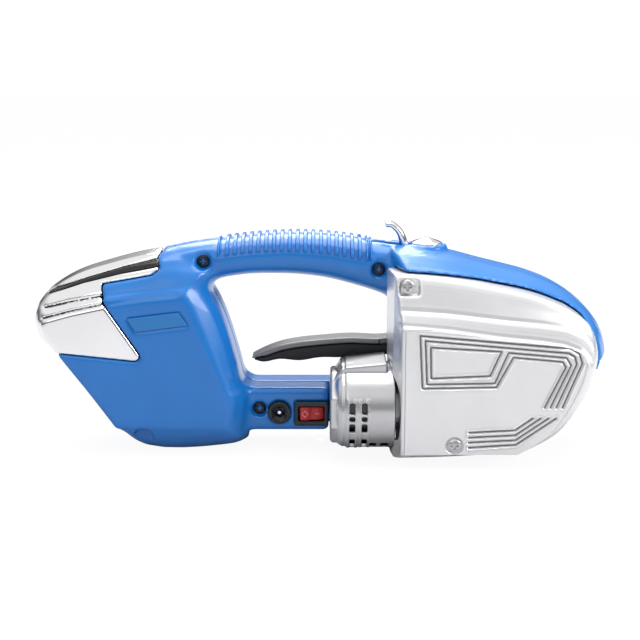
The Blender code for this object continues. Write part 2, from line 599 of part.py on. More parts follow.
# ---------------------------------------------------------------- frame
def frame_group():
    base = make("base_plate", [(x, y, z) for z in (0.0, BASE_TOP) for x, y in (
        (16.0, -14.0), (120.0, -14.0), (134.0, 4.0), (146.0, 20.0), (146.0, HALF_WIDTH), (24.0, HALF_WIDTH),
        (16.0, 52.0))], loft_faces(2, 7), "steel")
    smooth(base)
    box("gripper_plate", (92.0, 18.0, BASE_TOP + GAP), (113.0, 38.0, STRAP_TOP), "dark_steel")
    box("lower_weld_jaw", (122.5, 18.0, BASE_TOP + GAP), (141.5, 38.0, STRAP_TOP + 0.3), "dark_steel")

    outline = [(46.5, 5.3), (122.0, 5.3), (138.0, 24.0), (145.0, 40.0), (149.0, 60.0), (144.0, 80.0),
               (126.0, 96.0), (100.0, 104.0), (60.0, 104.0), (58.0, 110.5), (46.5, 110.5)]
    main = plate("main_frame", outline, MAIN_PLATE_Y, "cast_alloy")
    join(main, rod("bearing_tube", 9.0, (-38.0, -9.0), (ECCENTRIC_X, 0.0, ECCENTRIC_Z), "Y"))
    bores = ((ECCENTRIC_X, ECCENTRIC_Z, 4.4), (CROSS_X, CROSS_Z, 8.3), (LEVER_X, LEVER_Z, 3.3),
             (CRANK_X, CRANK_Z, 2.8), (COVER_SCREW_UP[0], COVER_SCREW_UP[1], 2.3))
    for x, z, radius in bores:
        cut(main, rod("bore", radius, (-45.0, 0.0), (x, 0.0, z), "Y"))

    outer = plate("outer_frame", [(66.0, 20.0), (74.0, 14.0), (142.0, 14.0), (146.0, 30.0), (146.0, 66.0),
                                  (66.0, 66.0)], OUTER_PLATE_Y, "cast_alloy")
    cut(outer, rod("window", 11.0, (40.0, 52.0), (WHEEL_X, 0.0, 40.0), "Y"))
    span = (MAIN_PLATE_Y[1] + GAP, OUTER_PLATE_Y[0] - GAP)
    for name, x, z in (("frame_spacer_rear", 72.0, 58.0), ("frame_spacer_front", 140.0, 61.0)):
        rod(name, 4.0, span, (x, 0.0, z), "Y", "steel", 14, (0.0, 0.0, 0.0))

    rod("lever_pin", 3.0, (MAIN_PLATE_Y[0], 9.0), (LEVER_X, 0.0, LEVER_Z), "Y", "steel", 16, (0.0, 0.0, 0.0))
    rod("crank_pin", 2.5, (MAIN_PLATE_Y[0], 27.0), (CRANK_X, 0.0, CRANK_Z), "Y", "steel", 14, (0.0, 0.0, 0.0))
    for name, low, high, reach in (("strap_guide_rear", 26.0, 42.0, 20.5), ("strap_guide_front", 142.2, 145.6, 37.3)):
        guide = box(name, (low, 39.0, BASE_TOP + GAP), (high, 43.0, 14.0), "steel")
        join(guide, box("lip", (low + 0.2, reach, 12.0), (high - 0.2, 42.0, 13.8)))

    tab = box("cover_bracket", (73.0, -54.0, 10.5), (83.0, -52.0, 20.0), "steel")
    join(tab, box("strip", (73.4, -53.0, 10.6), (82.6, -13.4, 12.2)))
    cut(tab, rod("hole", 2.3, (-60.0, -50.0), (COVER_SCREW_LOW[0], 0.0, COVER_SCREW_LOW[1]), "Y"))


# ---------------------------------------------------------------- levers
LEVER_TOP_LINE = ((-42.4, 54.9), (-38.0, 57.3), (-25.5, 62.4), (-13.0, 64.9), (-0.6, 66.2),
                  (18.0, 67.5), (38.0, 67.0), (46.0, 68.0))
GRIP_UNDER_LINE = ((-41.6, 53.6), (-36.8, 52.1), (-25.5, 53.7), (-13.1, 52.8), (-0.6, 54.7),
                   (11.9, 54.7), (24.0, 55.6), (37.0, 56.4))


def lift_lever_group():
    pivot = (LEVER_X, 0.0, LEVER_Z)
    strip = 3.4
    xs = np.linspace(LEVER_TOP_LINE[0][0], 46.0, 20)
    top = [(x, smooth_value(LEVER_TOP_LINE, x)) for x in xs]
    under = [(x, smooth_value(LEVER_TOP_LINE, x) - strip * min(1.0, 0.15 + (x - xs[0]) / 12.0))
             for x in xs[::-1]]
    lever = plate("lift_lever", top + under, (-8.5, 8.5), "cast_alloy", pivot)
    join(lever, rod("hub", 8.0, (-6.9, 6.9), pivot, "Y", "steel", 24, pivot),
         plate("nose", capsule((LEVER_X, LEVER_Z), (NOSE_X, NOSE_Z), 6.0, ROLLER_RADIUS), (-6.5, -0.5), "steel"))
    cut(lever, rod("bore", 3.3, (-12.0, 12.0), pivot, "Y"),
        box("relief", (36.0, -12.0, 40.0), (60.0, -7.2, 90.0)))
    smooth(lever)

    xs = np.linspace(-41.0, 37.0, 20)
    top = [(x, smooth_value(LEVER_TOP_LINE, x) - strip * min(1.0, 0.15 + (x + 42.4) / 12.0) - GAP) for x in xs]
    under = [(x, min(smooth_value(GRIP_UNDER_LINE, x), dict(top)[x] - 0.5)) for x in xs[::-1]]
    middle = plate("lift_lever_grip", top + under, (-9.0, 9.0), "black", pivot)
    smooth(middle)


def weld_lever_group():
    pivot = (WELD_LEVER_X, 0.0, WELD_LEVER_Z)
    spine = ((50.5, 114.0), (50.9, 121.0), (49.8, 128.0), (46.8, 133.6), (42.2, 137.2))
    rings = []
    for i, (x, z) in enumerate(spine):
        ahead = np.subtract(spine[min(i + 1, len(spine) - 1)], spine[max(i - 1, 0)])
        ahead = ahead / np.hypot(*ahead)
        half = 3.2 - 0.35 * i
        width = 4.0
        rings.append([(x - ahead[1] * half * a, width * b, z + ahead[0] * half * a)
                      for a, b in ((-1, -0.7), (-0.6, -1), (0.6, -1), (1, -0.7), (1, 0.7), (0.6, 1), (-0.6, 1),
                                   (-1, 0.7))])
    lever = loft("weld_lever", rings, "chrome", pivot)
    join(lever, rod("hub", 5.0, (-3.8, 3.8), pivot, "Y", "steel", 20, pivot),
         plate("arm", capsule((WELD_LEVER_X, WELD_LEVER_Z), (WELD_LEVER_X, WELD_LEVER_Z - WELD_ARM), 4.0, 2.5),
               (-2.9, 2.9), "steel"))
    cut(lever, rod("bore", 2.8, (-6.0, 6.0), pivot, "Y"))
    smooth(lever)
    rod("weld_lever_shaft", 2.5, (-13.0, 13.0), pivot, "Y", "steel", 16)

    box("press_link", (WELD_LEVER_X + 2.5 + 0.8, -3.0, LINK_BOTTOM), (CRANK_X - 2.5 - 0.9, 3.0, LINK_TOP), "steel")
    crank_pivot = (CRANK_X, 0.0, CRANK_Z)
    crank = rod("press_crank", 5.0, (-3.0, 26.0), crank_pivot, "Y", "steel", 20)
    join(crank,
         plate("arm", capsule((CRANK_X, CRANK_Z), (CRANK_X, CRANK_Z + CRANK_ARM), 4.4, 2.5), (-2.9, 2.9), "steel"),
         plate("toe", capsule((CRANK_X, CRANK_Z), (CRANK_X + 9.0, CRANK_Z - 2.0), 4.4, 2.5), (19.2, 25.8),
               "steel"))
    cut(crank, rod("bore", 2.8, (-6.0, 30.0), crank_pivot, "Y"))
    smooth(crank)

    head = box("press_head", (118.6, 19.0, 16.4), (122.2, 26.0, 81.0), "steel")
    join(head, box("beam", (119.0, 19.1, 16.5), (139.5, 25.9, 21.0)))
    box("cutter_blade", (116.6, 19.2, 10.4), (118.2, 25.8, 21.0), "dark_steel")


def weld_drive_group():
    centre = (ECCENTRIC_X, 0.0, ECCENTRIC_Z)
    shaft = rod("eccentric_shaft", 4.0, (-51.0, 38.0), centre, "Y", "steel", 18)
    join(shaft, rod("eccentric", ECCENTRIC_RADIUS, (28.0, 36.0),
                    (ECCENTRIC_X + ECCENTRIC_THROW, 0.0, ECCENTRIC_Z), "Y", "steel", 24))
    smooth(shaft)
    ring("eccentric_pulley", SMALL_PULLEY_RADIUS, 4.3, BELT_Y, centre, "Y", "cast_alloy", 24)
    cross = (CROSS_X, 0.0, CROSS_Z)
    ring("weld_pulley", WELD_PULLEY_RADIUS, CROSS_RADIUS + BORE_CLEARANCE, BELT_Y, cross, "Y", "cast_alloy", 32)

    inside, outside = 0.35, 0.35 + BELT_THICKNESS
    ends = (CROSS_X, CROSS_Z), (ECCENTRIC_X, ECCENTRIC_Z)
    radii = WELD_PULLEY_RADIUS, SMALL_PULLEY_RADIUS
    belt = plate("weld_belt", capsule(*ends, radii[0] + outside, radii[1] + outside, 14),
                 (BELT_Y[0] + 1.0, BELT_Y[1] - 1.0), "belt")
    cut(belt, plate("hollow", capsule(*ends, radii[0] + inside, radii[1] + inside, 14), BELT_Y, "belt"))

    jaw = box("upper_weld_jaw", (124.0, 19.0, 11.4), (140.0, 37.0, 15.6), "dark_steel",
              (ECCENTRIC_X, 28.0, 13.5))
    prong = ECCENTRIC_RADIUS + ECCENTRIC_THROW + JAW_TRAVEL + 0.7
    for sign in (-1.0, 1.0):
        xs = sorted((ECCENTRIC_X + sign * prong, ECCENTRIC_X + sign * (prong + 3.6)))
        join(jaw, box("prong", (xs[0], 28.5, 13.0), (xs[1], 35.5, 52.0)))
    join(jaw, box("yoke", (ECCENTRIC_X - prong - 3.5, 28.6, 13.1), (ECCENTRIC_X + prong + 3.5, 35.4, 19.0)))


# ---------------------------------------------------------------- controls, battery, fasteners
def controls():
    pivot = (BUTTON_X, 0.0, 120.0)
    turned("tension_button", [(-3.8, 2.5), (-0.5, 2.5), (-0.5, BUTTON_RADIUS), (5.6, BUTTON_RADIUS),
                              (5.9, 9.0), (8.3, 3.2), (8.9, 0.8)], pivot, "Z", "chrome", 16)
    coil("button_spring", 6.0, 0.55, (-7.0, -1.1), 3.5, pivot, "Z")
    board = box("button_board", (59.5, -7.6, 107.0), (75.0, 7.6, 108.6), "board")
    join(board, box("switch", (BUTTON_X - 3.0, -3.0, 108.0), (BUTTON_X + 3.0, 3.0, 112.8), "black"))

    bezel = box("switch_frame", (-16.2, -21.0, 15.0), (4.4, -19.3, 30.2), "black")
    join(bezel, box("body", (-14.8, -19.8, 16.6), (2.8, -8.0, 28.6)))
    cut(bezel, box("window", (-13.9, -30.0, 18.2), (2.1, -12.0, 27.0)))
    centre = (SWITCH_X, -18.2, SWITCH_Z)
    tilt = math.radians(10.0)
    shape = ((-7.2, -2.6), (0.0, -3.4), (7.2, -2.6), (6.2, 1.2), (0.0, 3.4), (-6.2, 1.2))
    rings = [[(centre[0] + x * math.cos(tilt) - y * math.sin(tilt),
               centre[1] + x * math.sin(tilt) + y * math.cos(tilt), z) for x, y in shape]
             for z in (18.5, 26.7)]
    loft("power_rocker", rings, "red", centre)

    centre = (JACK_X, 0.0, JACK_Z)
    jack = turned("charging_jack", [(-21.2, 3.1), (-21.2, 6.2), (-20.6, 7.0), (-19.3, 7.0), (-19.3, 5.6),
                                    (-9.0, 5.6), (-9.0, 0.0)], centre, "Y", "black", 16, (0.0, 0.0, 0.0))
    cut(jack, rod("socket", 3.1, (-22.0, -10.0), centre, "Y"))
    join(jack, rod("pin", 0.9, (-19.0, -9.5), centre, "Y", "bronze", 8))
    box("control_board", (-31.0, 8.0, 15.0), (40.0, 9.6, 34.0), "board")


def battery():
    pack = None
    for row in range(4):
        z = 22.0 + 18.5 * row
        end = -52.5 - 5.3 * row
        outline = arc((9.3, z), 9.35, -90.0, 90.0, 8) + arc((-9.3, z), 9.35, 90.0, 270.0, 8)
        rings = [[(x, y, h) for y, h in outline] for x in (end - 65.0, end)]
        cells = loft("battery_pack" if pack is None else "cells", rings, "wrap")
        if pack is None:
            pack = cells
        else:
            join(pack, cells)
    smooth(pack)
    corners = ((-115.6, 84.6), (-84.6, 88.4), (-79.6, 80.4), (-110.6, 76.4))
    plate("label_plate", corners, (-BOX_HALF_WIDTH - 0.9, -BOX_HALF_WIDTH - 0.3), "label")


def screw(name, position, head_y, head_radius, tip_y, shank=1.8, finish="dark_steel"):
    x, z = position
    turned(name, [(head_y, head_radius * 0.8), (head_y + 0.7, head_radius), (head_y + 2.2, head_radius),
                  (head_y + 2.2, shank), (tip_y, shank)], (x, 0.0, z), "Y", finish, 16, (0.0, 0.0, 0.0))


def fasteners():
    screw("handle_screw_rear", HANDLE_SCREWS[0], -16.5, 3.6, 9.0)
    screw("handle_screw_front", HANDLE_SCREWS[1], -16.5, 3.6, 9.0)
    screw("bar_screw", BAR_SCREW, -16.5, 3.6, 9.0)
    screw("cover_screw_upper", COVER_SCREW_UP, -49.1, 4.0, -9.0, 2.0, "chrome")
    screw("cover_screw_lower", COVER_SCREW_LOW, COVER_FACE_Y + 0.2, 4.0, -51.0, 2.0, "chrome")


def main():
    clear_scene()
    housing("housing_near", -1.0)
    housing("housing_far", 1.0)
    end_cap()
    drive_cover()
    motor_group()
    drive_train()
    swing_arm_group()
    frame_group()
    lift_lever_group()
    weld_lever_group()
    weld_drive_group()
    controls()
    battery()
    fasteners()


main()
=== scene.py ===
"""Battery strapping tool: its visible skins, finishes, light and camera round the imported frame.

Lengths in this file are millimetres unless a name ends in _m. +X runs from the battery end to
the nose, -Y is the side with the silver drive cover and +Z is up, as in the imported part.

Most skins are level surfaces. A shape is a signed distance field, sampled as whole arrays on a
Block of evenly spaced points: negative inside, positive outside. Shapes are joined, cut and
rounded by arithmetic on their fields, and Block.skin lays quads on the zero level.
"""
import logging
import math
from dataclasses import dataclass
from enum import Enum
from typing import ClassVar, Dict, Sequence, Tuple

import bpy
import numpy as np
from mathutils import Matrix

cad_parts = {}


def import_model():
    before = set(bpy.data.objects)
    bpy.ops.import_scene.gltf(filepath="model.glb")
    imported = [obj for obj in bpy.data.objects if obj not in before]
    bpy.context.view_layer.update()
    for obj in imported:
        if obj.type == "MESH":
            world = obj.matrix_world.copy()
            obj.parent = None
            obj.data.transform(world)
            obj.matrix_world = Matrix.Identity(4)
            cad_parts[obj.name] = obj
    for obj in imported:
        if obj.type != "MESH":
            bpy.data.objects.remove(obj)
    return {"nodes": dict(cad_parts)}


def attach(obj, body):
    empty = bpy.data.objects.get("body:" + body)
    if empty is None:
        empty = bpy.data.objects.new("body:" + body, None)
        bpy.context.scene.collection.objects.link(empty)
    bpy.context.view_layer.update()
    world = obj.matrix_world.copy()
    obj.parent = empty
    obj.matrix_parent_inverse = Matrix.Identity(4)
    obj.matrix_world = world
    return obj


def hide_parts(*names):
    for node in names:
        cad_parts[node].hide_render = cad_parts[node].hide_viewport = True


MM = 0.001
HALF_PLANE = 0.08            # each housing half stops this far from the middle plane
log = logging.getLogger("strapping_tool")
Point2 = Tuple[float, float]
Point3 = Tuple[float, float, float]
Line = Tuple[Point2, ...]
Corners = Tuple[Point3, ...]


# ---------------------------------------------------------------- curves in a plane
def flowing(corners: Sequence[Point2], breaks: Sequence[int] = (), per: int = 6,
            closed: bool = True) -> np.ndarray:
    """Cubic curve through corners.

    Each side is the Hermite cubic h(t) = a(1-t)^2(1+2t) + b t^2(3-2t) + L(u t(1-t)^2 - v t^2(1-t)),
    with L the side's length and u, v the unit slopes at its ends, weighted by side length.

    Args:
        corners: points that the curve passes through.
        breaks: indices of corners that stay crisp.
        per: samples on each side.
        closed: whether the last corner joins the first.

    Returns:
        Points along the curve.
    """
    p = np.asarray(corners, float)
    ahead = np.roll(p, -1, 0) - p
    length = np.maximum(np.hypot(*ahead.T), 1e-6)[:, None]
    unit = ahead / length
    before, before_length = np.roll(unit, 1, 0), np.roll(length, 1, 0)
    slope = (unit * before_length + before * length) / (length + before_length)
    leaving, arriving = slope.copy(), slope.copy()
    crisp = list(breaks) + ([] if closed else [0, len(p) - 1])
    leaving[crisp], arriving[crisp] = unit[crisp], before[crisp]
    t = np.linspace(0.0, 1.0, per, endpoint=False)[None, :, None]
    a, b = p[:, None], np.roll(p, -1, 0)[:, None]
    u, v, reach = leaving[:, None], np.roll(arriving, -1, 0)[:, None], length[:, None]
    curve = (a * (1 - t) ** 2 * (1 + 2 * t) + b * t * t * (3 - 2 * t)
             + reach * (u * t * (1 - t) ** 2 - v * t * t * (1 - t)))
    if closed:
        return curve.reshape(-1, 2)
    return np.vstack([curve[:-1].reshape(-1, 2), p[-1:]])


def line_distance(u: np.ndarray, v: np.ndarray, points: Sequence[Point2]) -> np.ndarray:
    """Distance from (u, v) to an open line: the least over its sides of |w - t e|, with
    w the offset from the side's start, e the side and t = w.e / e.e held to 0..1.

    Args:
        u, v: coordinates, of shapes that broadcast together.
        points: corners of the line.

    Returns:
        Distances.
    """
    best = np.full(np.broadcast(u, v).shape, 1e12, np.float32)
    points = np.asarray(points, float)
    for (au, av), (bu, bv) in zip(points[:-1], points[1:]):
        eu, ev, wu, wv = bu - au, bv - av, u - au, v - av
        t = np.clip((wu * eu + wv * ev) / max(eu * eu + ev * ev, 1e-9), 0.0, 1.0)
        best = np.minimum(best, (wu - t * eu) ** 2 + (wv - t * ev) ** 2)
    return np.sqrt(best)


def outline_distance(u: np.ndarray, v: np.ndarray, outline: Sequence[Point2]) -> np.ndarray:
    """Signed distance to a closed outline: line_distance, negative where a ray crosses it an odd
    number of times.

    Args:
        u, v: coordinates, of shapes that broadcast together.
        outline: corners of the closed outline.

    Returns:
        Signed distances.
    """
    outline = np.asarray(outline, float)
    ring = np.vstack([outline, outline[:1]])
    inside = np.zeros(np.broadcast(u, v).shape, bool)
    for (au, av), (bu, bv) in zip(ring[:-1], ring[1:]):
        rise = bv - av if abs(bv - av) > 1e-9 else 1e-9
        inside ^= ((av > v) != (bv > v)) & (u < (bu - au) * (v - av) / rise + au)
    return np.where(inside, -1.0, 1.0) * line_distance(u, v, ring)


def along(points: Sequence[Point2], x: np.ndarray) -> np.ndarray:
    """Height of a line over x, through a flowing curve sampled 8 times a side.

    Args:
        points: corners of the line, in order of x.
        x: where to read it.

    Returns:
        Heights at x.
    """
    curve = flowing(points, per=8, closed=False)
    return np.interp(x, curve[:, 0], curve[:, 1]).astype(np.float32)


def ramp(low: float, high: float, value: np.ndarray) -> np.ndarray:
    """Smooth step 3t^2 - 2t^3 with t = (value - low) / (high - low) held to 0..1."""
    t = np.clip((value - low) / (high - low), 0.0, 1.0)
    return t * t * (3.0 - 2.0 * t)


def merge(a: np.ndarray, b: np.ndarray, fillet: float) -> np.ndarray:
    """Union with a fillet: min(a, b) - h^2 / 4k, with h = max(k - |a - b|, 0).

    Args:
        a, b: fields to join.
        fillet: size k of the fillet, a number or a field.

    Returns:
        The joined field.
    """
    h = np.maximum(fillet - np.abs(a - b), 0.0)
    return np.minimum(a, b) - h * h / (4.0 * fillet)


def carve(a: np.ndarray, b: np.ndarray, fillet: float = 0.0) -> np.ndarray:
    """a without b: max(a, -b), with a rounded edge if fillet is more than 0."""
    return -merge(-a, b, fillet) if fillet > 0.0 else np.maximum(a, -b)


# ---------------------------------------------------------------- sampled blocks
class Block:
    """Evenly spaced sample points in a box, on which shapes are fields of signed distance."""

    def __init__(self, low: Point3, high: Point3, step: float) -> None:
        """Args: low and high corners of the box and the spacing, all in millimetres."""
        self.low, self.step = np.asarray(low, float), step
        x, y, z = [np.arange(a, b + step, step, dtype=np.float32) for a, b in zip(low, high)]
        self.x, self.y, self.z = x[:, None, None], y[None, :, None], z[None, None, :]
        self.flat_x, self.flat_z = x[:, None], z[None, :]

    def box(self, low: Point3, high: Point3, rounding: float = 0.0) -> np.ndarray:
        """Box: |max(q, 0)| + min(max(qx, qy, qz), 0) - r, with q = |p - c| - half + r.

        Args:
            low, high: corners.
            rounding: radius of its edges.

        Returns:
            The box's field.
        """
        q = [np.abs(p - 0.5 * (a + b)) - 0.5 * (b - a) + rounding
             for p, a, b in zip((self.x, self.y, self.z), low, high)]
        outer = np.sqrt(sum(np.maximum(part, 0.0) ** 2 for part in q))
        return outer + np.minimum(np.maximum(np.maximum(q[0], q[1]), q[2]), 0.0) - rounding

    def rod(self, axis: str, centre: Point2, radius: float, span: Point2) -> np.ndarray:
        """Rod along an axis: max(distance from the axis - radius, beyond either end).

        Args:
            axis: "x", "y" or "z".
            centre: place of the axis in the other two coordinates.
            radius: the rod's radius.
            span: its two ends.

        Returns:
            The rod's field.
        """
        p = {"x": self.x, "y": self.y, "z": self.z}
        u, v = [p[name] for name in "xyz" if name != axis]
        across = np.hypot(u - centre[0], v - centre[1]) - radius
        return np.maximum(across, np.maximum(span[0] - p[axis], p[axis] - span[1]))

    def flat(self, outline: Sequence[Point2]) -> np.ndarray:
        """Signed distance to an XZ outline, the same at every Y."""
        return outline_distance(self.flat_x, self.flat_z, outline)[:, None, :]

    def line(self, points: Sequence[Point2]) -> np.ndarray:
        """Distance to an XZ line, the same at every Y."""
        return line_distance(self.flat_x, self.flat_z, points)[:, None, :]

    def prism(self, outline: Sequence[Point2], span: Point2, rounding: float = 0.0) -> np.ndarray:
        """XZ outline between two Y values: the rounded corner of two distances, as in box.

        Args:
            outline: corners of the XZ outline.
            span: the two Y values.
            rounding: radius of its edges.

        Returns:
            The prism's field.
        """
        a = self.flat(outline) + rounding
        b = np.abs(self.y - 0.5 * (span[0] + span[1])) - 0.5 * (span[1] - span[0]) + rounding
        outer = np.hypot(np.maximum(a, 0.0), np.maximum(b, 0.0))
        return outer + np.minimum(np.maximum(a, b), 0.0) - rounding

    def layered(self, places: Sequence[float], sheets: Sequence[np.ndarray],
                y: np.ndarray) -> np.ndarray:
        """Field whose XZ sheet changes evenly with y between the given places.

        Args:
            places: values of y, in rising order.
            sheets: XZ field at each place.
            y: the value of y for each layer of samples.

        Returns:
            The field.
        """
        sheets = np.stack(sheets)
        y = y.ravel()
        low = np.clip(np.searchsorted(places, y) - 1, 0, len(places) - 2)
        places = np.asarray(places, np.float32)
        share = np.clip((y - places[low]) / (places[low + 1] - places[low]), 0.0, 1.0)[:, None, None]
        field = sheets[low] * (1.0 - share) + sheets[low + 1] * share
        return field.transpose(1, 0, 2).astype(np.float32)

    def soften(self, field: np.ndarray, passes: int) -> np.ndarray:
        """Round every edge: each pass takes the mean (1, 2, 1) / 4 along all three axes.

        Args:
            field: signed distances.
            passes: number of passes.

        Returns:
            The softened field.
        """
        for _ in range(passes):
            for axis in range(3):
                padded = np.moveaxis(np.concatenate(
                    [field.take([0], axis), field, field.take([-1], axis)], axis), axis, 0)
                field = np.moveaxis(0.25 * padded[:-2] + 0.5 * padded[1:-1] + 0.25 * padded[2:],
                                    0, axis)
        return field

    def read(self, field: np.ndarray, points: np.ndarray) -> np.ndarray:
        """Field value at points given in sample units, even between the eight samples round each.

        Args:
            field: signed distances.
            points: places in sample units.

        Returns:
            The field at each point.
        """
        limit = np.asarray(field.shape) - 2
        base = np.clip(points.astype(int), 0, limit)
        t = np.clip(points - base, 0.0, 1.0)
        total = np.zeros(len(points))
        for corner in np.ndindex(2, 2, 2):
            weight = np.prod(np.where(corner, t, 1.0 - t), axis=1)
            total += weight * field[tuple((base + corner).T)]
        return total

    def skin(self, field: np.ndarray) -> Tuple[np.ndarray, np.ndarray]:
        """Quads on the zero level.

        A point is put in each cell that the surface crosses, at the mean of the crossings on its
        edges, then moved down the field's slope until the field there is 0. A quad joins the four
        cells round each edge that changes sign.

        Args:
            field: signed distances at every sample.

        Returns:
            Points in millimetres and the quads' corner numbers.
        """
        field = np.pad(np.broadcast_to(field, (self.x.size, self.y.size, self.z.size)), 1,
                       constant_values=self.step)
        inside = field < 0.0
        shape = tuple(n - 1 for n in field.shape)
        filled = np.zeros(shape, np.int8)
        for i, j, k in np.ndindex(2, 2, 2):
            filled += inside[i:i + shape[0], j:j + shape[1], k:k + shape[2]]
        crossed = (filled > 0) & (filled < 8)
        cells = np.argwhere(crossed)
        number = np.zeros(shape, np.int32)
        number[crossed] = np.arange(len(cells))
        points, hits = np.zeros((len(cells), 3)), np.zeros(len(cells))
        quads = []
        for axis in range(3):
            u, v = (axis + 1) % 3, (axis + 2) % 3
            unit = np.eye(3, dtype=int)
            for du, dv in np.ndindex(2, 2):
                start = cells + du * unit[u] + dv * unit[v]
                a, b = field[tuple(start.T)], field[tuple((start + unit[axis]).T)]
                hit = (a < 0.0) != (b < 0.0)
                t = np.where(hit, a / np.where(hit, a - b, 1.0), 0.0)
                points += (start + t[:, None] * unit[axis]) * hit[:, None]
                hits += hit
            first = np.take(inside, range(shape[axis]), axis)
            second = np.take(inside, range(1, shape[axis] + 1), axis)
            edges = np.argwhere(first != second)
            keep = np.all((edges[:, [u, v]] > 0) & (edges[:, [u, v]] < [shape[u], shape[v]]), axis=1)
            edges = edges[keep]
            ring = np.stack([number[tuple((edges - step).T)] for step in
                             (unit[u] + unit[v], unit[v], 0 * unit[u], unit[u])], axis=1)
            outward = first[tuple(edges.T)]
            quads.append(np.where(outward[:, None], ring, ring[:, ::-1]))
        points /= hits[:, None]
        for _ in range(3):
            slope = np.stack([self.read(field, points + 0.5 * e) - self.read(field, points - 0.5 * e)
                              for e in np.eye(3)], axis=1)
            steep = np.maximum((slope ** 2).sum(1), 0.05 * self.step ** 2)
            move = -slope * (self.read(field, points) / steep)[:, None]
            points += np.clip(move, -0.5, 0.5)
        return (points - 1.0) * self.step + self.low, np.vstack(quads)


def evened(shape: Tuple[np.ndarray, np.ndarray], passes: int) -> Tuple[np.ndarray, np.ndarray]:
    """Even out a skin without shrinking it: each pass moves every point 0.5 and then -0.52 of the
    way to the mean of its neighbours.

    Args:
        shape: points and quads.
        passes: number of passes.

    Returns:
        The same quads on the evened points.
    """
    points, faces = shape
    a, b = faces.ravel(), np.roll(faces, -1, axis=1).ravel()
    count = (np.bincount(a, minlength=len(points)) + np.bincount(b, minlength=len(points)))[:, None]
    for share in (0.5, -0.52) * passes:
        total = np.stack([np.bincount(a, points[b, k], len(points))
                          + np.bincount(b, points[a, k], len(points))
                          for k in range(3)], axis=1)
        points = points + share * (total / count - points)
    return points, faces


# ---------------------------------------------------------------- grids of two parameters
def tube_faces(rows: int, columns: int) -> np.ndarray:
    """Quads of a grid whose columns close on themselves; rows run along it.

    Args:
        rows: points along the tube.
        columns: points round it.

    Returns:
        Corner numbers of the quads.
    """
    i, j = np.meshgrid(np.arange(rows - 1), np.arange(columns), indexing="ij")
    k = (j + 1) % columns
    return np.stack([i * columns + j, i * columns + k, (i + 1) * columns + k,
                     (i + 1) * columns + j], axis=-1).reshape(-1, 4)


def lathe(profile: Sequence[Point2], segments: int = 48) -> Tuple[np.ndarray, np.ndarray]:
    """Surface of revolution about Z: (r cos a, r sin a, h) for each profile pair (r, h).

    The profile runs so that the outside is on its right, from one pole to the other, and its
    ends are drawn in to radius 0.002.

    Args:
        profile: pairs of radius and height.
        segments: points round the axis.

    Returns:
        Points and quads.
    """
    profile = np.asarray(profile, float)
    radius = np.maximum(profile[:, :1], 0.002)
    angle = np.linspace(0.0, 2.0 * math.pi, segments, endpoint=False)[None]
    points = np.stack([radius * np.cos(angle), radius * np.sin(angle),
                       np.repeat(profile[:, 1:2], segments, axis=1)], axis=-1)
    return points.reshape(-1, 3), tube_faces(len(profile), segments)


# ---------------------------------------------------------------- finishes
class Coat(Enum):
    """Families of surface finish."""

    MOULDED = "moulded plastic"
    PLATED = "bright plate"
    SATIN = "satin paint or plate"
    CAST = "as-cast metal"
    GROUND = "ground steel"


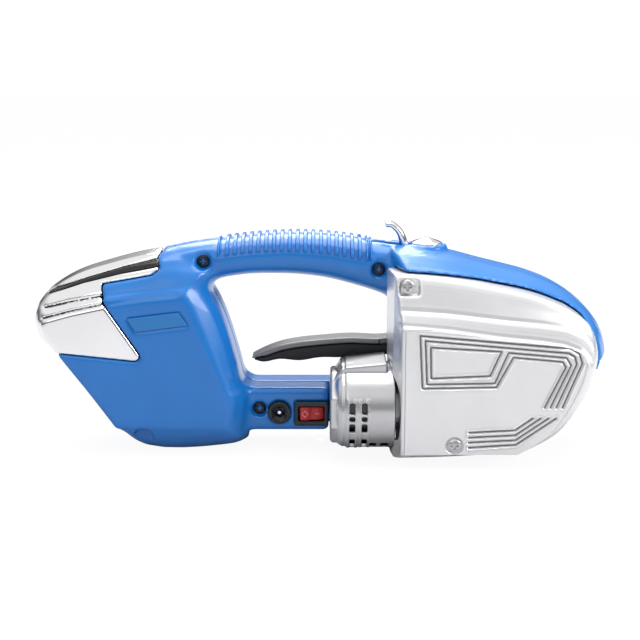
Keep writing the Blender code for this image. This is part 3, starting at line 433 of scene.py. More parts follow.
@dataclass(frozen=True)
class Finish:
    """One finish: colour, gloss and its fine texture.

    Attributes:
        name: the material's name.
        coat: which family of texture it gets.
        colour: base colour, linear red, green and blue.
        roughness: mean roughness.
        metallic: 0 for plastic, 1 for bare metal.
        coat_weight: clear layer on top.
        grain_mm: size of the fine texture.
        relief: strength of the fine texture's bump.
        change: how far the colour and roughness wander.
    """

    name: str
    coat: Coat
    colour: Tuple[float, float, float]
    roughness: float
    metallic: float = 0.0
    coat_weight: float = 0.0
    grain_mm: float = 0.5
    relief: float = 0.03
    change: float = 0.06

    def material(self) -> bpy.types.Material:
        """Build the node material once and return it.

        Colour wanders with a broad noise, roughness with a finer one, and a bump comes from the fine grain:
        plain noise for most finishes, stretched noise for ground metal.
        """
        known = bpy.data.materials.get(self.name)
        if known is not None:
            return known
        material = bpy.data.materials.new(self.name)
        material.use_nodes = True
        nodes, links = material.node_tree.nodes, material.node_tree.links
        shader = nodes["Principled BSDF"]
        shader.inputs["Metallic"].default_value = self.metallic
        shader.inputs["Coat Weight"].default_value = self.coat_weight
        shader.inputs["Coat Roughness"].default_value = 0.06
        place = nodes.new("ShaderNodeTexCoord")
        stretch = nodes.new("ShaderNodeMapping")
        links.new(place.outputs["Object"], stretch.inputs["Vector"])
        if self.coat is Coat.GROUND:
            stretch.inputs["Scale"].default_value = (0.06, 1.0, 1.0)
        broad, fine = nodes.new("ShaderNodeTexNoise"), nodes.new("ShaderNodeTexNoise")
        broad.inputs["Scale"].default_value = 1.0 / (28.0 * MM)
        broad.inputs["Detail"].default_value = 4.0
        fine.inputs["Scale"].default_value = 1.0 / (self.grain_mm * MM)
        fine.inputs["Detail"].default_value = 3.0
        links.new(place.outputs["Object"], broad.inputs["Vector"])
        links.new(stretch.outputs["Vector"], fine.inputs["Vector"])
        tint = nodes.new("ShaderNodeValToRGB")
        for element, share in zip(tint.color_ramp.elements, (1.0 - self.change, 1.0 + self.change)):
            element.color = (*(min(1.0, value * share) for value in self.colour), 1.0)
        tint.color_ramp.elements[0].position, tint.color_ramp.elements[1].position = 0.3, 0.7
        links.new(broad.outputs["Fac"], tint.inputs["Fac"])
        links.new(tint.outputs["Color"], shader.inputs["Base Color"])
        gloss = nodes.new("ShaderNodeMapRange")
        gloss.inputs["To Min"].default_value = self.roughness * (1.0 - 2.0 * self.change)
        gloss.inputs["To Max"].default_value = self.roughness * (1.0 + 2.0 * self.change)
        links.new(fine.outputs["Fac"], gloss.inputs["Value"])
        links.new(gloss.outputs["Result"], shader.inputs["Roughness"])
        bump = nodes.new("ShaderNodeBump")
        bump.inputs["Strength"].default_value = self.relief
        bump.inputs["Distance"].default_value = 0.05 * MM
        links.new(fine.outputs["Fac"], bump.inputs["Height"])
        links.new(bump.outputs["Normal"], shader.inputs["Normal"])
        return material


BLUE = Finish("blue_plastic", Coat.MOULDED, (0.006, 0.172, 0.56), 0.3, coat_weight=0.3, grain_mm=0.6,
              relief=0.04, change=0.04)
MIRROR = Finish("bright_plate", Coat.PLATED, (0.9, 0.9, 0.91), 0.09, 1.0, grain_mm=2.0,
                relief=0.01, change=0.02)
CAN = Finish("satin_plate", Coat.PLATED, (0.6, 0.6, 0.61), 0.3, 1.0, grain_mm=0.8, relief=0.02)
SILVER = Finish("silver_paint", Coat.SATIN, (0.82, 0.82, 0.83), 0.36, 0.7, coat_weight=0.25,
                grain_mm=0.25, relief=0.1, change=0.03)
# Dark grey laid in the track grooves of the cover face: painted shade.
PAINTED_TRACK_SHADE = Finish("painted_track_shade", Coat.SATIN, (0.22, 0.22, 0.23), 0.45, 0.6, grain_mm=0.5, relief=0.06)
CAST_ALLOY = Finish("cast_alloy", Coat.CAST, (0.48, 0.49, 0.5), 0.52, 0.9, grain_mm=0.7, relief=0.35)
STEEL = Finish("ground_steel", Coat.GROUND, (0.44, 0.45, 0.47), 0.32, 1.0, grain_mm=0.35, relief=0.2)
HARD_STEEL = Finish("hardened_steel", Coat.GROUND, (0.11, 0.11, 0.12), 0.38, 1.0, grain_mm=0.4,
                    relief=0.2)
BLACK = Finish("black_plastic", Coat.MOULDED, (0.012, 0.012, 0.014), 0.42, grain_mm=0.3, relief=0.35)
NAVY = Finish("blackened_screw", Coat.SATIN, (0.01, 0.013, 0.03), 0.3, 0.3, grain_mm=0.4, relief=0.1)
RED = Finish("red_plastic", Coat.MOULDED, (0.2, 0.004, 0.004), 0.25, coat_weight=0.4, relief=0.02)
MARK = Finish("red_mark", Coat.MOULDED, (0.8, 0.25, 0.22), 0.5, relief=0.02)
LABEL = Finish("label_blue", Coat.SATIN, (0.02, 0.19, 0.52), 0.45, grain_mm=0.35, relief=0.12)
BOARD = Finish("circuit_board", Coat.SATIN, (0.015, 0.15, 0.05), 0.45, grain_mm=1.0, relief=0.2)
WRAP = Finish("cell_wrap", Coat.MOULDED, (0.02, 0.08, 0.3), 0.35, coat_weight=0.3)
BELT = Finish("belt_rubber", Coat.MOULDED, (0.02, 0.02, 0.02), 0.7, grain_mm=0.6, relief=0.4)
LEVER_GREY = Finish("lever_grey", Coat.SATIN, (0.2, 0.2, 0.2), 0.34, 0.5, grain_mm=0.4, relief=0.08)
# Glossy black: the switch frame and jack are this colour; on the cap it is painted groove shade.
BLACK_GLOSS_AND_GROOVE_SHADE = Finish("glossy_black_and_groove_shade", Coat.MOULDED, (0.006, 0.006, 0.007), 0.2, grain_mm=0.5, relief=0.03)


def publish(name: str, shape: Tuple[np.ndarray, np.ndarray], finish: Finish, body: str, slot: str,
            *stands_for: str, crease: float = 40.0) -> bpy.types.Object:
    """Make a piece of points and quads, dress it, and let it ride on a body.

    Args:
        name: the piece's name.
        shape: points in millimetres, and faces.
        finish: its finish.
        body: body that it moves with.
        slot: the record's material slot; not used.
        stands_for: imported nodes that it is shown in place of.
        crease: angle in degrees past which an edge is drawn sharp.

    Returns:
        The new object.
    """
    points, faces = shape
    mesh = bpy.data.meshes.new(name)
    mesh.from_pydata(np.asarray(points, float) * MM, [], faces)
    mesh.update()
    mesh.shade_smooth()
    if crease < 180.0:
        mesh.set_sharp_from_angle(angle=math.radians(crease))
    mesh.materials.append(finish.material())
    piece = bpy.data.objects.new(name, mesh)
    bpy.context.collection.objects.link(piece)
    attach(piece, body)
    if stands_for:
        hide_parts(*stands_for)
    log.info("%s: %d faces on %s", name, len(faces), body)
    return piece


# ---------------------------------------------------------------- housing and its end cap
@dataclass
class Housing:
    """Blue moulded halves and the plated cap on the battery end, all cut from one shape.

    Attributes:
        corners: battery body, each with its X and Z at the middle plane and on the side panel.
        zones: the rounding that each corner follows.
        levels: distances from the middle plane at which the rounding is given.
        rounding: share of the way from the middle shape to the side shape, by zone.
    """

    corners: Tuple[Tuple[float, ...], ...] = (
        (-66.0, 117.0, -82.8, 98.5), (-84.0, 123.5, -90.0, 97.9), (-95.6, 122.7, -98.0, 97.1),
        (-104.5, 121.5, -106.0, 96.3), (-129.5, 115.3, -128.0, 94.3),
        (-148.2, 109.1, -146.0, 89.5), (-160.5, 102.2, -156.0, 86.6),
        (-167.1, 97.2, -161.0, 85.1), (-172.4, 90.3, -164.5, 83.5), (-175.0, 82.1, -166.0, 80.0),
        (-174.3, 73.8, -165.2, 75.0), (-169.0, 66.0, -161.0, 68.0), (-157.0, 60.5, -157.5, 62.0),
        (-141.0, 39.6, -141.5, 40.6), (-124.0, 14.0, -124.5, 17.3), (-116.0, 4.0, -112.0, 17.1),
        (-108.0, 0.0, -104.0, 16.9), (-62.0, 0.0, -66.0, 16.2), (-50.0, 2.5, -60.0, 16.1),
        (-44.8, 5.3, -58.1, 16.0), (-44.4, 20.0, -56.6, 24.0), (-44.4, 37.3, -56.0, 34.8),
        (-47.5, 41.8, -57.9, 39.3), (-50.5, 52.8, -62.1, 49.3), (-56.4, 73.8, -70.3, 68.8),
        (-62.4, 89.6, -77.4, 85.7), (-67.8, 100.3, -81.5, 95.5))
    zones: str = "tttttttttttt" + "rrr" + "bbbbb" + "iiiiiii"
    levels: Tuple[float, ...] = (0.0, 12.0, 19.0, 25.0, 29.0, 31.5, 33.0)
    rounding: ClassVar[Dict[str, Tuple[float, ...]]] = {
        "t": (0.0, 0.06, 0.22, 0.5, 0.78, 0.9, 1.0),
        "r": (0.0, 0.0, 0.1, 0.3, 0.6, 0.8, 1.0),
        "b": (0.0, 0.0, 0.18, 0.42, 0.66, 0.85, 1.0),
        "i": (0.0, 0.0, 0.04, 0.3, 0.6, 0.78, 1.0)}
    panel_y: float = 33.0
    handle_top: Line = (
        (-100.0, 121.5), (-80.2, 125.8), (-63.0, 128.3), (-43.5, 130.7), (-12.5, 132.3),
        (17.5, 130.1), (33.1, 127.6), (48.5, 125.2), (60.0, 123.3))
    handle_under: Line = (
        (-100.0, 99.0), (-80.2, 101.0), (-68.3, 102.8), (-56.0, 105.3), (-43.5, 106.9),
        (-31.5, 107.2), (-12.5, 106.6), (5.5, 104.1), (17.9, 100.9), (30.2, 97.2), (39.5, 94.0),
        (60.0, 92.0))
    handle_half: float = 19.0
    crown: Line = (
        (42.0, 126.1), (48.5, 125.2), (79.1, 120.2), (97.5, 115.3), (110.0, 112.2),
        (128.5, 107.2), (141.1, 102.2), (153.5, 94.7), (163.3, 85.9), (169.9, 77.0),
        (173.4, 67.5), (174.8, 58.5), (173.0, 45.0), (171.0, 40.0))
    near_drop: Line = (
        (0.0, 0.0), (12.0, 0.6), (24.0, 3.0), (34.0, 6.5), (42.0, 10.0), (47.0, 13.5))
    far_drop: Line = (
        (0.0, 0.0), (12.0, 0.4), (26.0, 2.2), (38.0, 5.5), (47.0, 9.5), (52.0, 13.5),
        (54.0, 17.5))
    hood_floor: float = 45.0
    cap_region: Line = (
        (-95.6, 140.0), (-95.6, 122.7), (-98.5, 118.0), (-96.5, 112.5), (-101.0, 109.3),
        (-131.0, 104.0), (-129.5, 93.7), (-108.1, 61.4), (-110.5, 58.3), (-157.5, 63.3),
        (-190.0, 66.0), (-190.0, 140.0))
    rib_span: Point2 = (-62.5, 31.0)
    screws: Line = ((-70.8, 116.4), (34.8, 111.5))
    bar_screw: Point2 = (-37.7, 24.9)
    jack: Point2 = (-25.5, 23.3)
    button_x: float = 64.5
    rest_dish: Point2 = (30.2, 131.6)
    dish_radius: float = 5.2
    bar: Tuple[Tuple[float, ...], ...] = ((-60.0, -19.0, 11.4), (19.0, 38.0))
    bar_ends: Point2 = (4.9, 44.0)
    lever_slot: Corners = ((32.0, -4.8, 110.0), (54.8, 4.8, 134.0))
    lever_window: Corners = ((30.0, -10.4, 40.0), (47.5, 10.4, 84.0))
    motor_side: Corners = ((30.0, -60.0, 30.0), (47.0, -3.0, 64.5))
    switch_seat: Corners = ((-15.6, -40.0, 15.6), (3.8, -13.0, 29.6))
    foot_dimple: Tuple[Point2, float] = ((-108.0, 11.0), 5.6)
    button_ring: Point2 = (12.6, 9.9)
    screw_well: float = 4.8
    jack_well: float = 6.6
    hood_wall: float = 3.2
    cap_wall: float = 5.0
    lower_strip: Line = (
        (-168.0, 83.4), (-166.3, 84.0), (-150.0, 88.6), (-129.0, 93.1), (-106.0, 96.9),
        (-86.0, 98.9))
    upper_strip: Line = (
        (-168.0, 88.8), (-166.1, 89.5), (-150.0, 93.8), (-128.9, 97.9), (-106.0, 101.0),
        (-84.0, 102.9))

    def body(self, block: Block) -> np.ndarray:
        """Battery body: XZ outlines at each level, changing evenly between them, capped by the
        flat side panels.

        Args:
            block: samples.

        Returns:
            The battery body's field.
        """
        places = np.asarray(self.corners)
        sheets = []
        for i in range(len(self.levels)):
            share = np.asarray([self.rounding[zone][i] for zone in self.zones])[:, None]
            corners = places[:, :2] * (1.0 - share) + places[:, 2:] * share
            outline = flowing(corners, breaks=(0, 14, 19), per=4)
            sheets.append(outline_distance(block.flat_x, block.flat_z, outline))
        field = block.layered(self.levels, sheets, np.abs(block.y))
        field = -merge(-field, -(np.abs(block.y) - self.panel_y), 1.6)
        return -merge(-field, block.z, 1.2)

    def handle(self, block: Block) -> np.ndarray:
        """Handle: the superellipse (|y| / a)^2.4 + (|z - m| / b)^2.4 = 1 along the arch, with m and
        b from its upper and lower lines.

        Args:
            block: samples.

        Returns:
            The handle's field.
        """
        x = block.flat_x[:, 0]
        top, under = along(self.handle_top, x), along(self.handle_under, x)
        middle = (0.5 * (top + under))[:, None, None]
        reach = (0.5 * (top - under))[:, None, None]
        half = self.handle_half
        level = ((np.abs(block.y) / half) ** 2.4 + (np.abs(block.z - middle) / reach) ** 2.4
                 ) ** np.float32(1 / 2.4)
        field = (level - 1.0) * np.minimum(half, reach)
        span = (ramp(self.rib_span[0] - 0.5, self.rib_span[0] + 1.0, x)
                - ramp(self.rib_span[1] - 1.0, self.rib_span[1] + 0.5, x))[:, None, None]
        field = field + 0.8 * span * ramp(3.0, 5.0, block.z - middle)
        return np.maximum(field, np.maximum(-96.0 - block.x, block.x - 58.0))

    def hood(self, block: Block, side: float) -> np.ndarray:
        """Hood: distance to the crown line plus a drop that grows with distance from the middle.

        Args:
            block: samples.
            side: -1 for the near half, 1 for the far one.

        Returns:
            The hood's field.
        """
        drops = self.near_drop if side < 0 else self.far_drop
        y = np.abs(block.y)
        drop = np.interp(y, *zip(*drops)).astype(np.float32)
        crown = flowing(self.crown, per=6, closed=False)
        outline = np.vstack([[(0.0, 20.0), (0.0, 126.1)], crown[2:], [(166.0, 20.0)]])
        field = block.flat(outline) + drop
        back = 42.0 + 0.3 * np.maximum(0.0, y - 17.0)
        field = -merge(-field, -(back - block.x), 3.0)
        reach = drops[-1][0] - (9.0 * ramp(136.0, 156.0, block.x) if side < 0 else 0.0)
        return -merge(-field, -(y - reach), 4.0)

    def strips(self, block: Block) -> np.ndarray:
        """Depth of the two steps that run along the battery end above the side panel.

        Args:
            block: samples.

        Returns:
            Depth of the steps at every sample.
        """
        lower, upper = block.line(self.lower_strip), block.line(self.upper_strip)
        aside = ramp(20.0, 24.0, np.abs(block.y)) * ramp(-169.0, -160.0, block.x)
        return aside * 1.3 * (np.exp(-(lower / 1.0) ** 2) + np.exp(-(upper / 1.0) ** 2))

    def shape(self, block: Block, side: float) -> np.ndarray:
        """One half's whole outer shape, before the cap region is taken off.

        Args:
            block: samples.
            side: -1 for the near half, 1 for the far one.

        Returns:
            The half's field.
        """
        near = side < 0
        body = self.body(block) + self.strips(block)
        low, high = self.bar
        bar = block.box(low, (self.bar_ends[0 if near else 1], *high), 3.0)
        hood = self.hood(block, side)
        field = merge(body, bar, 5.0)
        field = merge(field, self.handle(block), 9.0 - 7.8 * ramp(108.0, 118.0, block.z))
        floor = self.hood_floor + (16.0 * ramp(140.0, 172.0, block.x) if near else 0.0)
        field = merge(field, np.maximum(hood, floor - block.z), 6.0 - 5.0 * ramp(110.0, 119.0, block.z))
        outer_ring, inner_ring = self.button_ring
        ring = block.rod("z", (self.button_x, 0.0), outer_ring, (112.0, 125.2))
        field = merge(field, ring, 3.0)
        hollow = np.maximum(hood + self.hood_wall, 46.0 - block.x)
        field = carve(field, hollow)
        field = carve(field, block.rod("z", (self.button_x, 0.0), inner_ring, (100.0, 140.0)), 0.8)
        field = carve(field, block.box(*self.lever_slot, 1.0), 0.8)
        field = carve(field, block.box(*self.lever_window, 1.0))
        field = carve(field, block.rod("y", self.rest_dish, self.dish_radius, (-5.4, 5.4)), 0.6)
        for x, z in self.screws + (self.bar_screw,):
            if near:
                field = carve(field, block.rod("y", (x, z), self.screw_well, (-40.0, -15.6)), 0.7)
        if near:
            field = carve(field, block.box(*self.motor_side))
            field = carve(field, block.rod("y", self.jack, self.jack_well, (-40.0, -12.0)), 0.5)
            field = carve(field, block.box(*self.switch_seat, 1.0), 0.4)
            field = carve(field, block.rod("y", *self.foot_dimple, (-60.0, -24.0)), 0.5)
            seat = block.prism(Controls.label, (-40.0, -32.7))
            field = carve(field, seat - 0.9, 0.3)
        return field

    def build(self) -> None:
        """Build both halves and the cap."""
        step = 1.1
        cover = DriveCover()
        for side, name, low, high in ((-1.0, "housing_near", -50.0, 0.6), (1.0, "housing_far", -0.6, 55.5)):
            block = Block((-177.0, low, -1.5), (177.0, high, 135.0), step)
            field = self.shape(block, side)
            field = carve(field, block.flat(self.cap_region) - 0.25)
            if side < 0:
                space = np.maximum(block.flat(cover.outline(30.0)) - 0.2, block.y - cover.rim_y)
                field = carve(field, space)
            field = block.soften(field, 1)
            field = np.maximum(field, HALF_PLANE - side * block.y)
            publish(name, evened(block.skin(field), 4), BLUE, "frame", "blue_housing", name, crease=62.0)
        self.build_cap()
        self.build_ribs()

    def build_cap(self) -> None:
        """Plated cap: the body inside the cap region, with a spine slit and a recessed wedge; the black
        filling the wedge and strip grooves is painted shade.
        """
        block = Block((-177.5, -34.5, 56.0), (-92.0, 34.5, 125.5), 0.65)
        field = self.body(block) + self.strips(block)
        wedge = ((-172.0, 94.5), (-164.0, 98.6), (-140.0, 107.0), (-118.0, 113.4), (-97.5, 118.2),
                 (-97.0, 114.0), (-120.0, 109.8), (-142.0, 104.3), (-165.0, 96.4))
        thin = np.minimum(block.line(self.lower_strip[1:4]), block.line(self.upper_strip[1:4])) - 0.55
        groove = np.maximum(np.minimum(block.flat(wedge), thin), 10.0 - np.abs(block.y))
        inner = field + 2.6
        # Black fill 0.5 below the surface in the wedge and the two strip grooves: painted shade in the
        # grooves.
        groove_shade_fill = np.maximum(np.maximum(groove + 0.1, field + 0.5), -(field + 2.5))
        publish("cap_painted_groove_shade", evened(block.skin(groove_shade_fill), 5), BLACK_GLOSS_AND_GROOVE_SHADE, "frame", "black_plastic",
                crease=50.0)
        field = carve(field, np.maximum(groove, -inner), 0.3)
        field = np.maximum(field, block.flat(self.cap_region) + 0.15)
        field = np.maximum(field, np.minimum(-(self.body(block) + self.cap_wall), 0.0))
        field = block.soften(field, 2)
        publish("battery_end_cap", evened(block.skin(field), 8), MIRROR, "frame", "chrome", "battery_end_cap",
                crease=50.0)

    def build_ribs(self) -> None:
        """Grip ribs: a sleeve round the handle.

        A point is m + (a c |c|^(2/n - 1), b s |s|^(2/n - 1)) k with c, s the cosine and sine of
        the angle, n = 2.4, and k = 1 + h / b. The height h is the rib wave
        ramp(cos(2 pi x / pitch)) over the upper part of the section; below it, and in the dish
        where the weld lever comes to rest, the sleeve lies inside the handle.
        """
        pitch, n = 4.7, 2.4
        x = np.linspace(self.rib_span[0] - 1.2, self.rib_span[1] + 1.2, 440)[:, None]
        angle = np.linspace(0.0, 2.0 * math.pi, 112, endpoint=False)[None]
        top, under = along(self.handle_top, x), along(self.handle_under, x)
        middle, reach = 0.5 * (top + under), 0.5 * (top - under)
        end = np.minimum(x - self.rib_span[0], self.rib_span[1] - x)
        wave = ramp(-0.35, 0.45, np.cos(2.0 * math.pi * x / pitch)) * ramp(2.0, 3.0, end)
        rim = np.exp(-((end - 0.9) / 1.0) ** 2)
        up = np.sin(angle)
        band = ramp(0.05, 0.3, up)
        height = (-1.2 + 2.3 * band * np.maximum(wave, 0.85 * rim)) * ramp(-1.2, 0.2, end) - 2.2 * (
            1.0 - ramp(-1.2, 0.2, end))
        power = 2.0 / n
        across = np.sign(np.cos(angle)) * np.abs(np.cos(angle)) ** power
        dish = ramp(22.5, 25.0, x) * (1.0 - ramp(5.0, 6.0, np.abs(self.handle_half * across))) * (up > 0.0)
        height = height * (1.0 - dish) - 3.4 * dish
        rise = np.sign(up) * np.abs(up) ** power
        scale = 1.0 + height / reach
        along_x = x - 3.6 * (1.0 - band) * ramp(20.0, 31.0, x)
        points = np.stack([along_x, self.handle_half * across * scale,
                           middle + reach * rise * scale], axis=-1)
        for row in (0, -1):
            points[row, :, 1] = 0.01 * np.cos(angle[0])
            points[row, :, 2] = middle[row] + 0.01 * np.sin(angle[0])
        faces = tube_faces(*height.shape)
        publish("grip_ribs", (points.reshape(-1, 3), faces), BLUE, "frame", "blue_housing", crease=70.0)


# ---------------------------------------------------------------- drive side
@dataclass
class DriveCover:
    """Silver cover over the weld drive: terraces along its top and beaded tracks on its face."""

    top: Line = (
        (30.0, 115.0), (42.5, 114.3), (60.0, 113.0), (74.5, 111.4), (103.5, 106.2), (129.5, 99.8),
        (145.0, 93.4), (158.0, 85.0), (170.0, 74.0))
    side: Line = (
        (145.0, 93.4), (156.2, 84.7), (160.5, 75.7), (162.4, 66.5), (161.6, 57.7), (157.5, 45.6),
        (149.5, 30.4), (141.3, 19.9), (129.8, 11.9), (119.3, 6.9))
    shoulder: Line = (
        (30.0, 94.4), (46.5, 93.8), (60.0, 93.1), (74.5, 92.0), (103.5, 88.5), (129.0, 85.9),
        (143.0, 83.8), (152.0, 80.0), (158.0, 74.0), (164.0, 64.0))
    face: Line = (
        (30.0, 86.4), (46.6, 85.8), (60.0, 84.8), (74.1, 83.5), (103.0, 79.3), (128.0, 76.8),
        (140.5, 74.8), (149.0, 71.5), (155.0, 65.0), (160.0, 56.0))
    plate_span: Point2 = (9.0, 83.0)
    plate_left: float = 49.0
    side_inset: float = 9.4
    screw_boss: Corners = ((44.0, -49.6, 100.0), (58.6, -44.0, 112.0))
    screw_pocket: Corners = ((45.4, -70.0, 101.8), (57.0, -47.6, 111.4))
    motor_mouth: Tuple[Point2, float] = ((-30.0, 31.5), 26.7)
    lever_notch: Corners = ((30.0, -22.5, 40.0), (47.0, -13.0, 70.0))
    rim_y: float = -20.3
    face_y: float = -60.0
    wall: float = 2.3
    lower_screw: Point2 = (78.0, 14.4)
    window: Line = ((63.2, 73.3), (104.0, 70.9), (97.8, 56.4), (63.8, 54.9))
    upper_tracks: Tuple[Line, ...] = (
        ((101.6, 49.7), (58.8, 48.9), (57.0, 80.2), (143.9, 72.6), (149.0, 69.5), (150.8, 63.9),
         (140.3, 37.4)),
        ((100.6, 52.0), (61.4, 51.4), (60.1, 77.2), (142.9, 69.9), (146.5, 67.5), (147.6, 63.4),
         (136.7, 37.4)),
        ((100.6, 52.0), (108.0, 70.2), (141.5, 67.2), (144.4, 62.8), (133.3, 37.4)),
        ((101.6, 49.7), (110.9, 67.4), (139.4, 64.8), (141.4, 61.6), (129.9, 37.4)))
    lower_tracks: Tuple[Line, ...] = (
        ((86.3, 22.3), (113.1, 23.7), (123.2, 30.9)),
        ((86.3, 19.3), (113.3, 20.7), (127.8, 30.9)),
        ((86.3, 16.3), (113.5, 17.7), (132.3, 30.9)),
        ((86.3, 13.2), (113.8, 14.9), (136.8, 30.9)))

    def outline(self, left: float) -> np.ndarray:
        """Closed XZ outline of the cover's widest section, with its left side at a given X.

        Args:
            left: X of the left side.

        Returns:
            Corners of the outline.
        """
        upper = flowing(self.top[1:7], per=5, closed=False)
        nose = flowing(self.side + ((94.5, 5.1), (70.5, 3.8), (46.2, 3.2)), per=6, closed=False)
        return np.vstack([[(left, 115.0)], upper, nose[1:], [(left, 2.6)]])

    def ceiling(self, block: Block) -> np.ndarray:
        """Distance above the cover's top: (z - h) / sqrt(1 + (dh/dy)^2), where h(x, y) goes from
        one of the three lines to the next by ledges and slopes, softened twice along y.

        Args:
            block: samples.

        Returns:
            Distance above the cover's top.
        """
        x = block.x[:, 0, 0]
        top, shoulder, face = (along(line, x) for line in (self.top, self.shoulder, self.face))
        knots = (-60.0, -58.6, -57.6, -55.4, -53.6, -49.8, -48.6, -46.5, 0.0)
        heights = (face - 1.6, face, face + 0.5, shoulder - 1.4, shoulder + 0.4,
                   top - 6.5, top - 2.4, top, top)
        y = block.y.ravel()
        low = np.clip(np.searchsorted(knots, y) - 1, 0, len(knots) - 2)
        knots = np.asarray(knots)
        share = np.clip((y - knots[low]) / (knots[low + 1] - knots[low]), 0.0, 1.0)
        stack = np.stack(heights)
        rows = stack[low] * (1.0 - share[:, None]) + stack[low + 1] * share[:, None]
        for _ in range(2):
            padded = np.vstack([rows[:1], rows, rows[-1:]])
            rows = 0.25 * padded[:-2] + 0.5 * padded[1:-1] + 0.25 * padded[2:]
        steep = np.sqrt(1.0 + np.gradient(rows, block.step, axis=0) ** 2)
        return ((block.z - rows.T[:, :, None]) / steep.T[:, :, None]).astype(np.float32)

    def nearest_track(self, x: np.ndarray, z: np.ndarray) -> np.ndarray:
        """Distance from (x, z) to the nearest of the face's track lines.

        Args:
            x, z: places on the face.

        Returns:
            Distances.
        """
        loop = self.window + self.window[:1]
        return np.minimum.reduce([line_distance(x, z, track)
                                  for track in (loop,) + self.upper_tracks + self.lower_tracks])

    def tracks(self, x: np.ndarray, z: np.ndarray) -> np.ndarray:
        """Depth of the face's beaded tracks: each is a groove g exp(-(d/w)^2) beside a low bead,
        where d is the distance to its line.

        Args:
            x, z: places on the face.

        Returns:
            Depth at each place.
        """
        nearest = self.nearest_track(x, z)
        seat = 1.15 * (1.0 - ramp(4.7, 5.4, np.hypot(x - self.lower_screw[0], z - self.lower_screw[1])))
        return seat + 1.1 * np.exp(-(nearest / 0.6) ** 2) - 0.5 * np.exp(-((nearest - 1.35) / 0.5) ** 2)

    def build(self) -> None:
        """Build the cover's shell."""
        block = Block((37.5, -61.4, 1.6), (165.0, -19.0, 116.5), 0.72)
        draft = np.interp(block.y.ravel(), (-60.0, -58.8, -57.0, -54.0, -50.0, -46.5, -20.3),
                          (7.2, 4.9, 3.6, 2.2, 0.8, 0.0, 0.5))[None, :, None].astype(np.float32)
        left = np.interp(block.y.ravel(), (-60.0, -58.5, -54.0, -50.0, -46.5, -20.3),
                         (47.6, 46.5, 45.6, 44.0, 42.4, 39.4))[None, :, None].astype(np.float32)
        side = block.flat(self.outline(20.0)) + draft
        side = -merge(-side, -(left - block.x), 2.0)
        solid = -merge(-side, -self.ceiling(block), 1.6)
        front = self.face_y - block.y
        seams = (0.8 * np.exp(-(block.line(self.shoulder[1:8]) / 0.9) ** 2)
                 + 0.8 * np.exp(-(block.line(self.face[1:8]) / 0.9) ** 2))
        outer = -merge(-(solid + seams), -front, 1.4)
        inner = np.maximum(solid, front) + self.wall
        hollow = np.maximum(inner, block.y - 10.0)
        field = np.maximum(carve(outer, hollow), block.y - self.rim_y)
        field = carve(field, block.rod("x", *self.motor_mouth, (20.0, 52.0)))
        field = carve(field, block.box(*self.lever_notch))
        field = np.minimum(field, np.maximum(block.box(*self.screw_boss), outer))
        field = carve(field, block.box(*self.screw_pocket, 1.2), 0.6)
        field = carve(field, np.maximum(block.flat(self.plate_outline()), block.y + 58.5))
        field = carve(field, block.rod("y", self.lower_screw, 5.2, (-70.0, -58.6)), 0.6)
        publish("drive_cover", evened(block.skin(block.soften(field, 1)), 5), SILVER, "frame", "satin_silver",
                "drive_cover", crease=55.0)
        self.build_plate()

    def plate_outline(self) -> np.ndarray:
        """Outline of the face plate: under the face line and inside the cover's side."""
        z = np.linspace(*self.plate_span, 60)
        left, right = self.plate_sides(z)
        return np.vstack([np.column_stack([left, z]), np.column_stack([right, z])[::-1]])

    def plate_sides(self, z: np.ndarray) -> Tuple[np.ndarray, np.ndarray]:
        """Sides of the face plate: the cover's side moved in by side_inset, or the face line where
        that is further left.

        Args:
            z: heights.

        Returns:
            Left and right X at each height.
        """
        outline = self.outline(20.0)
        nose = outline[(outline[:, 0] > 100.0)]
        nose = nose[np.argsort(nose[:, 1])]
        right = np.interp(z, nose[:, 1], nose[:, 0]) - self.side_inset
        x = np.linspace(48.0, 160.0, 400)
        line = along(self.face, x) - 1.3
        return np.full_like(z, self.plate_left), np.minimum(right, np.interp(-z, -line, x))

    def build_plate(self) -> None:
        """Face plate: the point at (s, t) is x = left + s (right - left), y = face + depth(x, z),
        with z even in t, and a flat back 1.3 behind."""
        z = np.linspace(*self.plate_span, 176)[:, None]
        left, right = self.plate_sides(z)
        x = left + (right - left) * np.linspace(0.0, 1.0, 236)[None]
        z = np.broadcast_to(z, x.shape)
        front = np.stack([x, self.face_y + self.tracks(x, z), z], axis=-1)
        back = np.stack([x, np.full_like(x, self.face_y + 1.45), z], axis=-1)
        points = np.vstack([front.reshape(-1, 3), back.reshape(-1, 3)])
        index = np.arange(x.size).reshape(x.shape)
        corners = [index[:-1, :-1], index[:-1, 1:], index[1:, 1:], index[1:, :-1]]
        quads = np.stack(corners, axis=-1).reshape(-1, 4)
        rim = np.concatenate([index[0], index[1:, -1], index[-1, -2::-1], index[-2:0:-1, 0]])
        after = np.roll(rim, -1)
        sides = np.stack([after, rim, rim + x.size, after + x.size], axis=-1)
        faces = np.vstack([quads, quads[:, ::-1] + x.size, sides])
        publish("cover_face", (points, faces), SILVER, "frame", "satin_silver", crease=60.0)
        # A dark grey ribbon in the bottom of each track groove: painted shade along the grooves.
        block = Block((54.0, self.face_y - 0.2, 11.0), (153.5, self.face_y + 1.5, 82.5), 0.42)
        shade_ribbon = self.nearest_track(block.flat_x, block.flat_z)[:, None, :] - 0.36
        shade_ribbon = np.maximum(shade_ribbon, np.abs(block.y - self.face_y - 0.8) - 0.3)
        publish("painted_track_shadow_lines", block.skin(shade_ribbon), PAINTED_TRACK_SHADE, "frame", "satin_silver", crease=60.0)


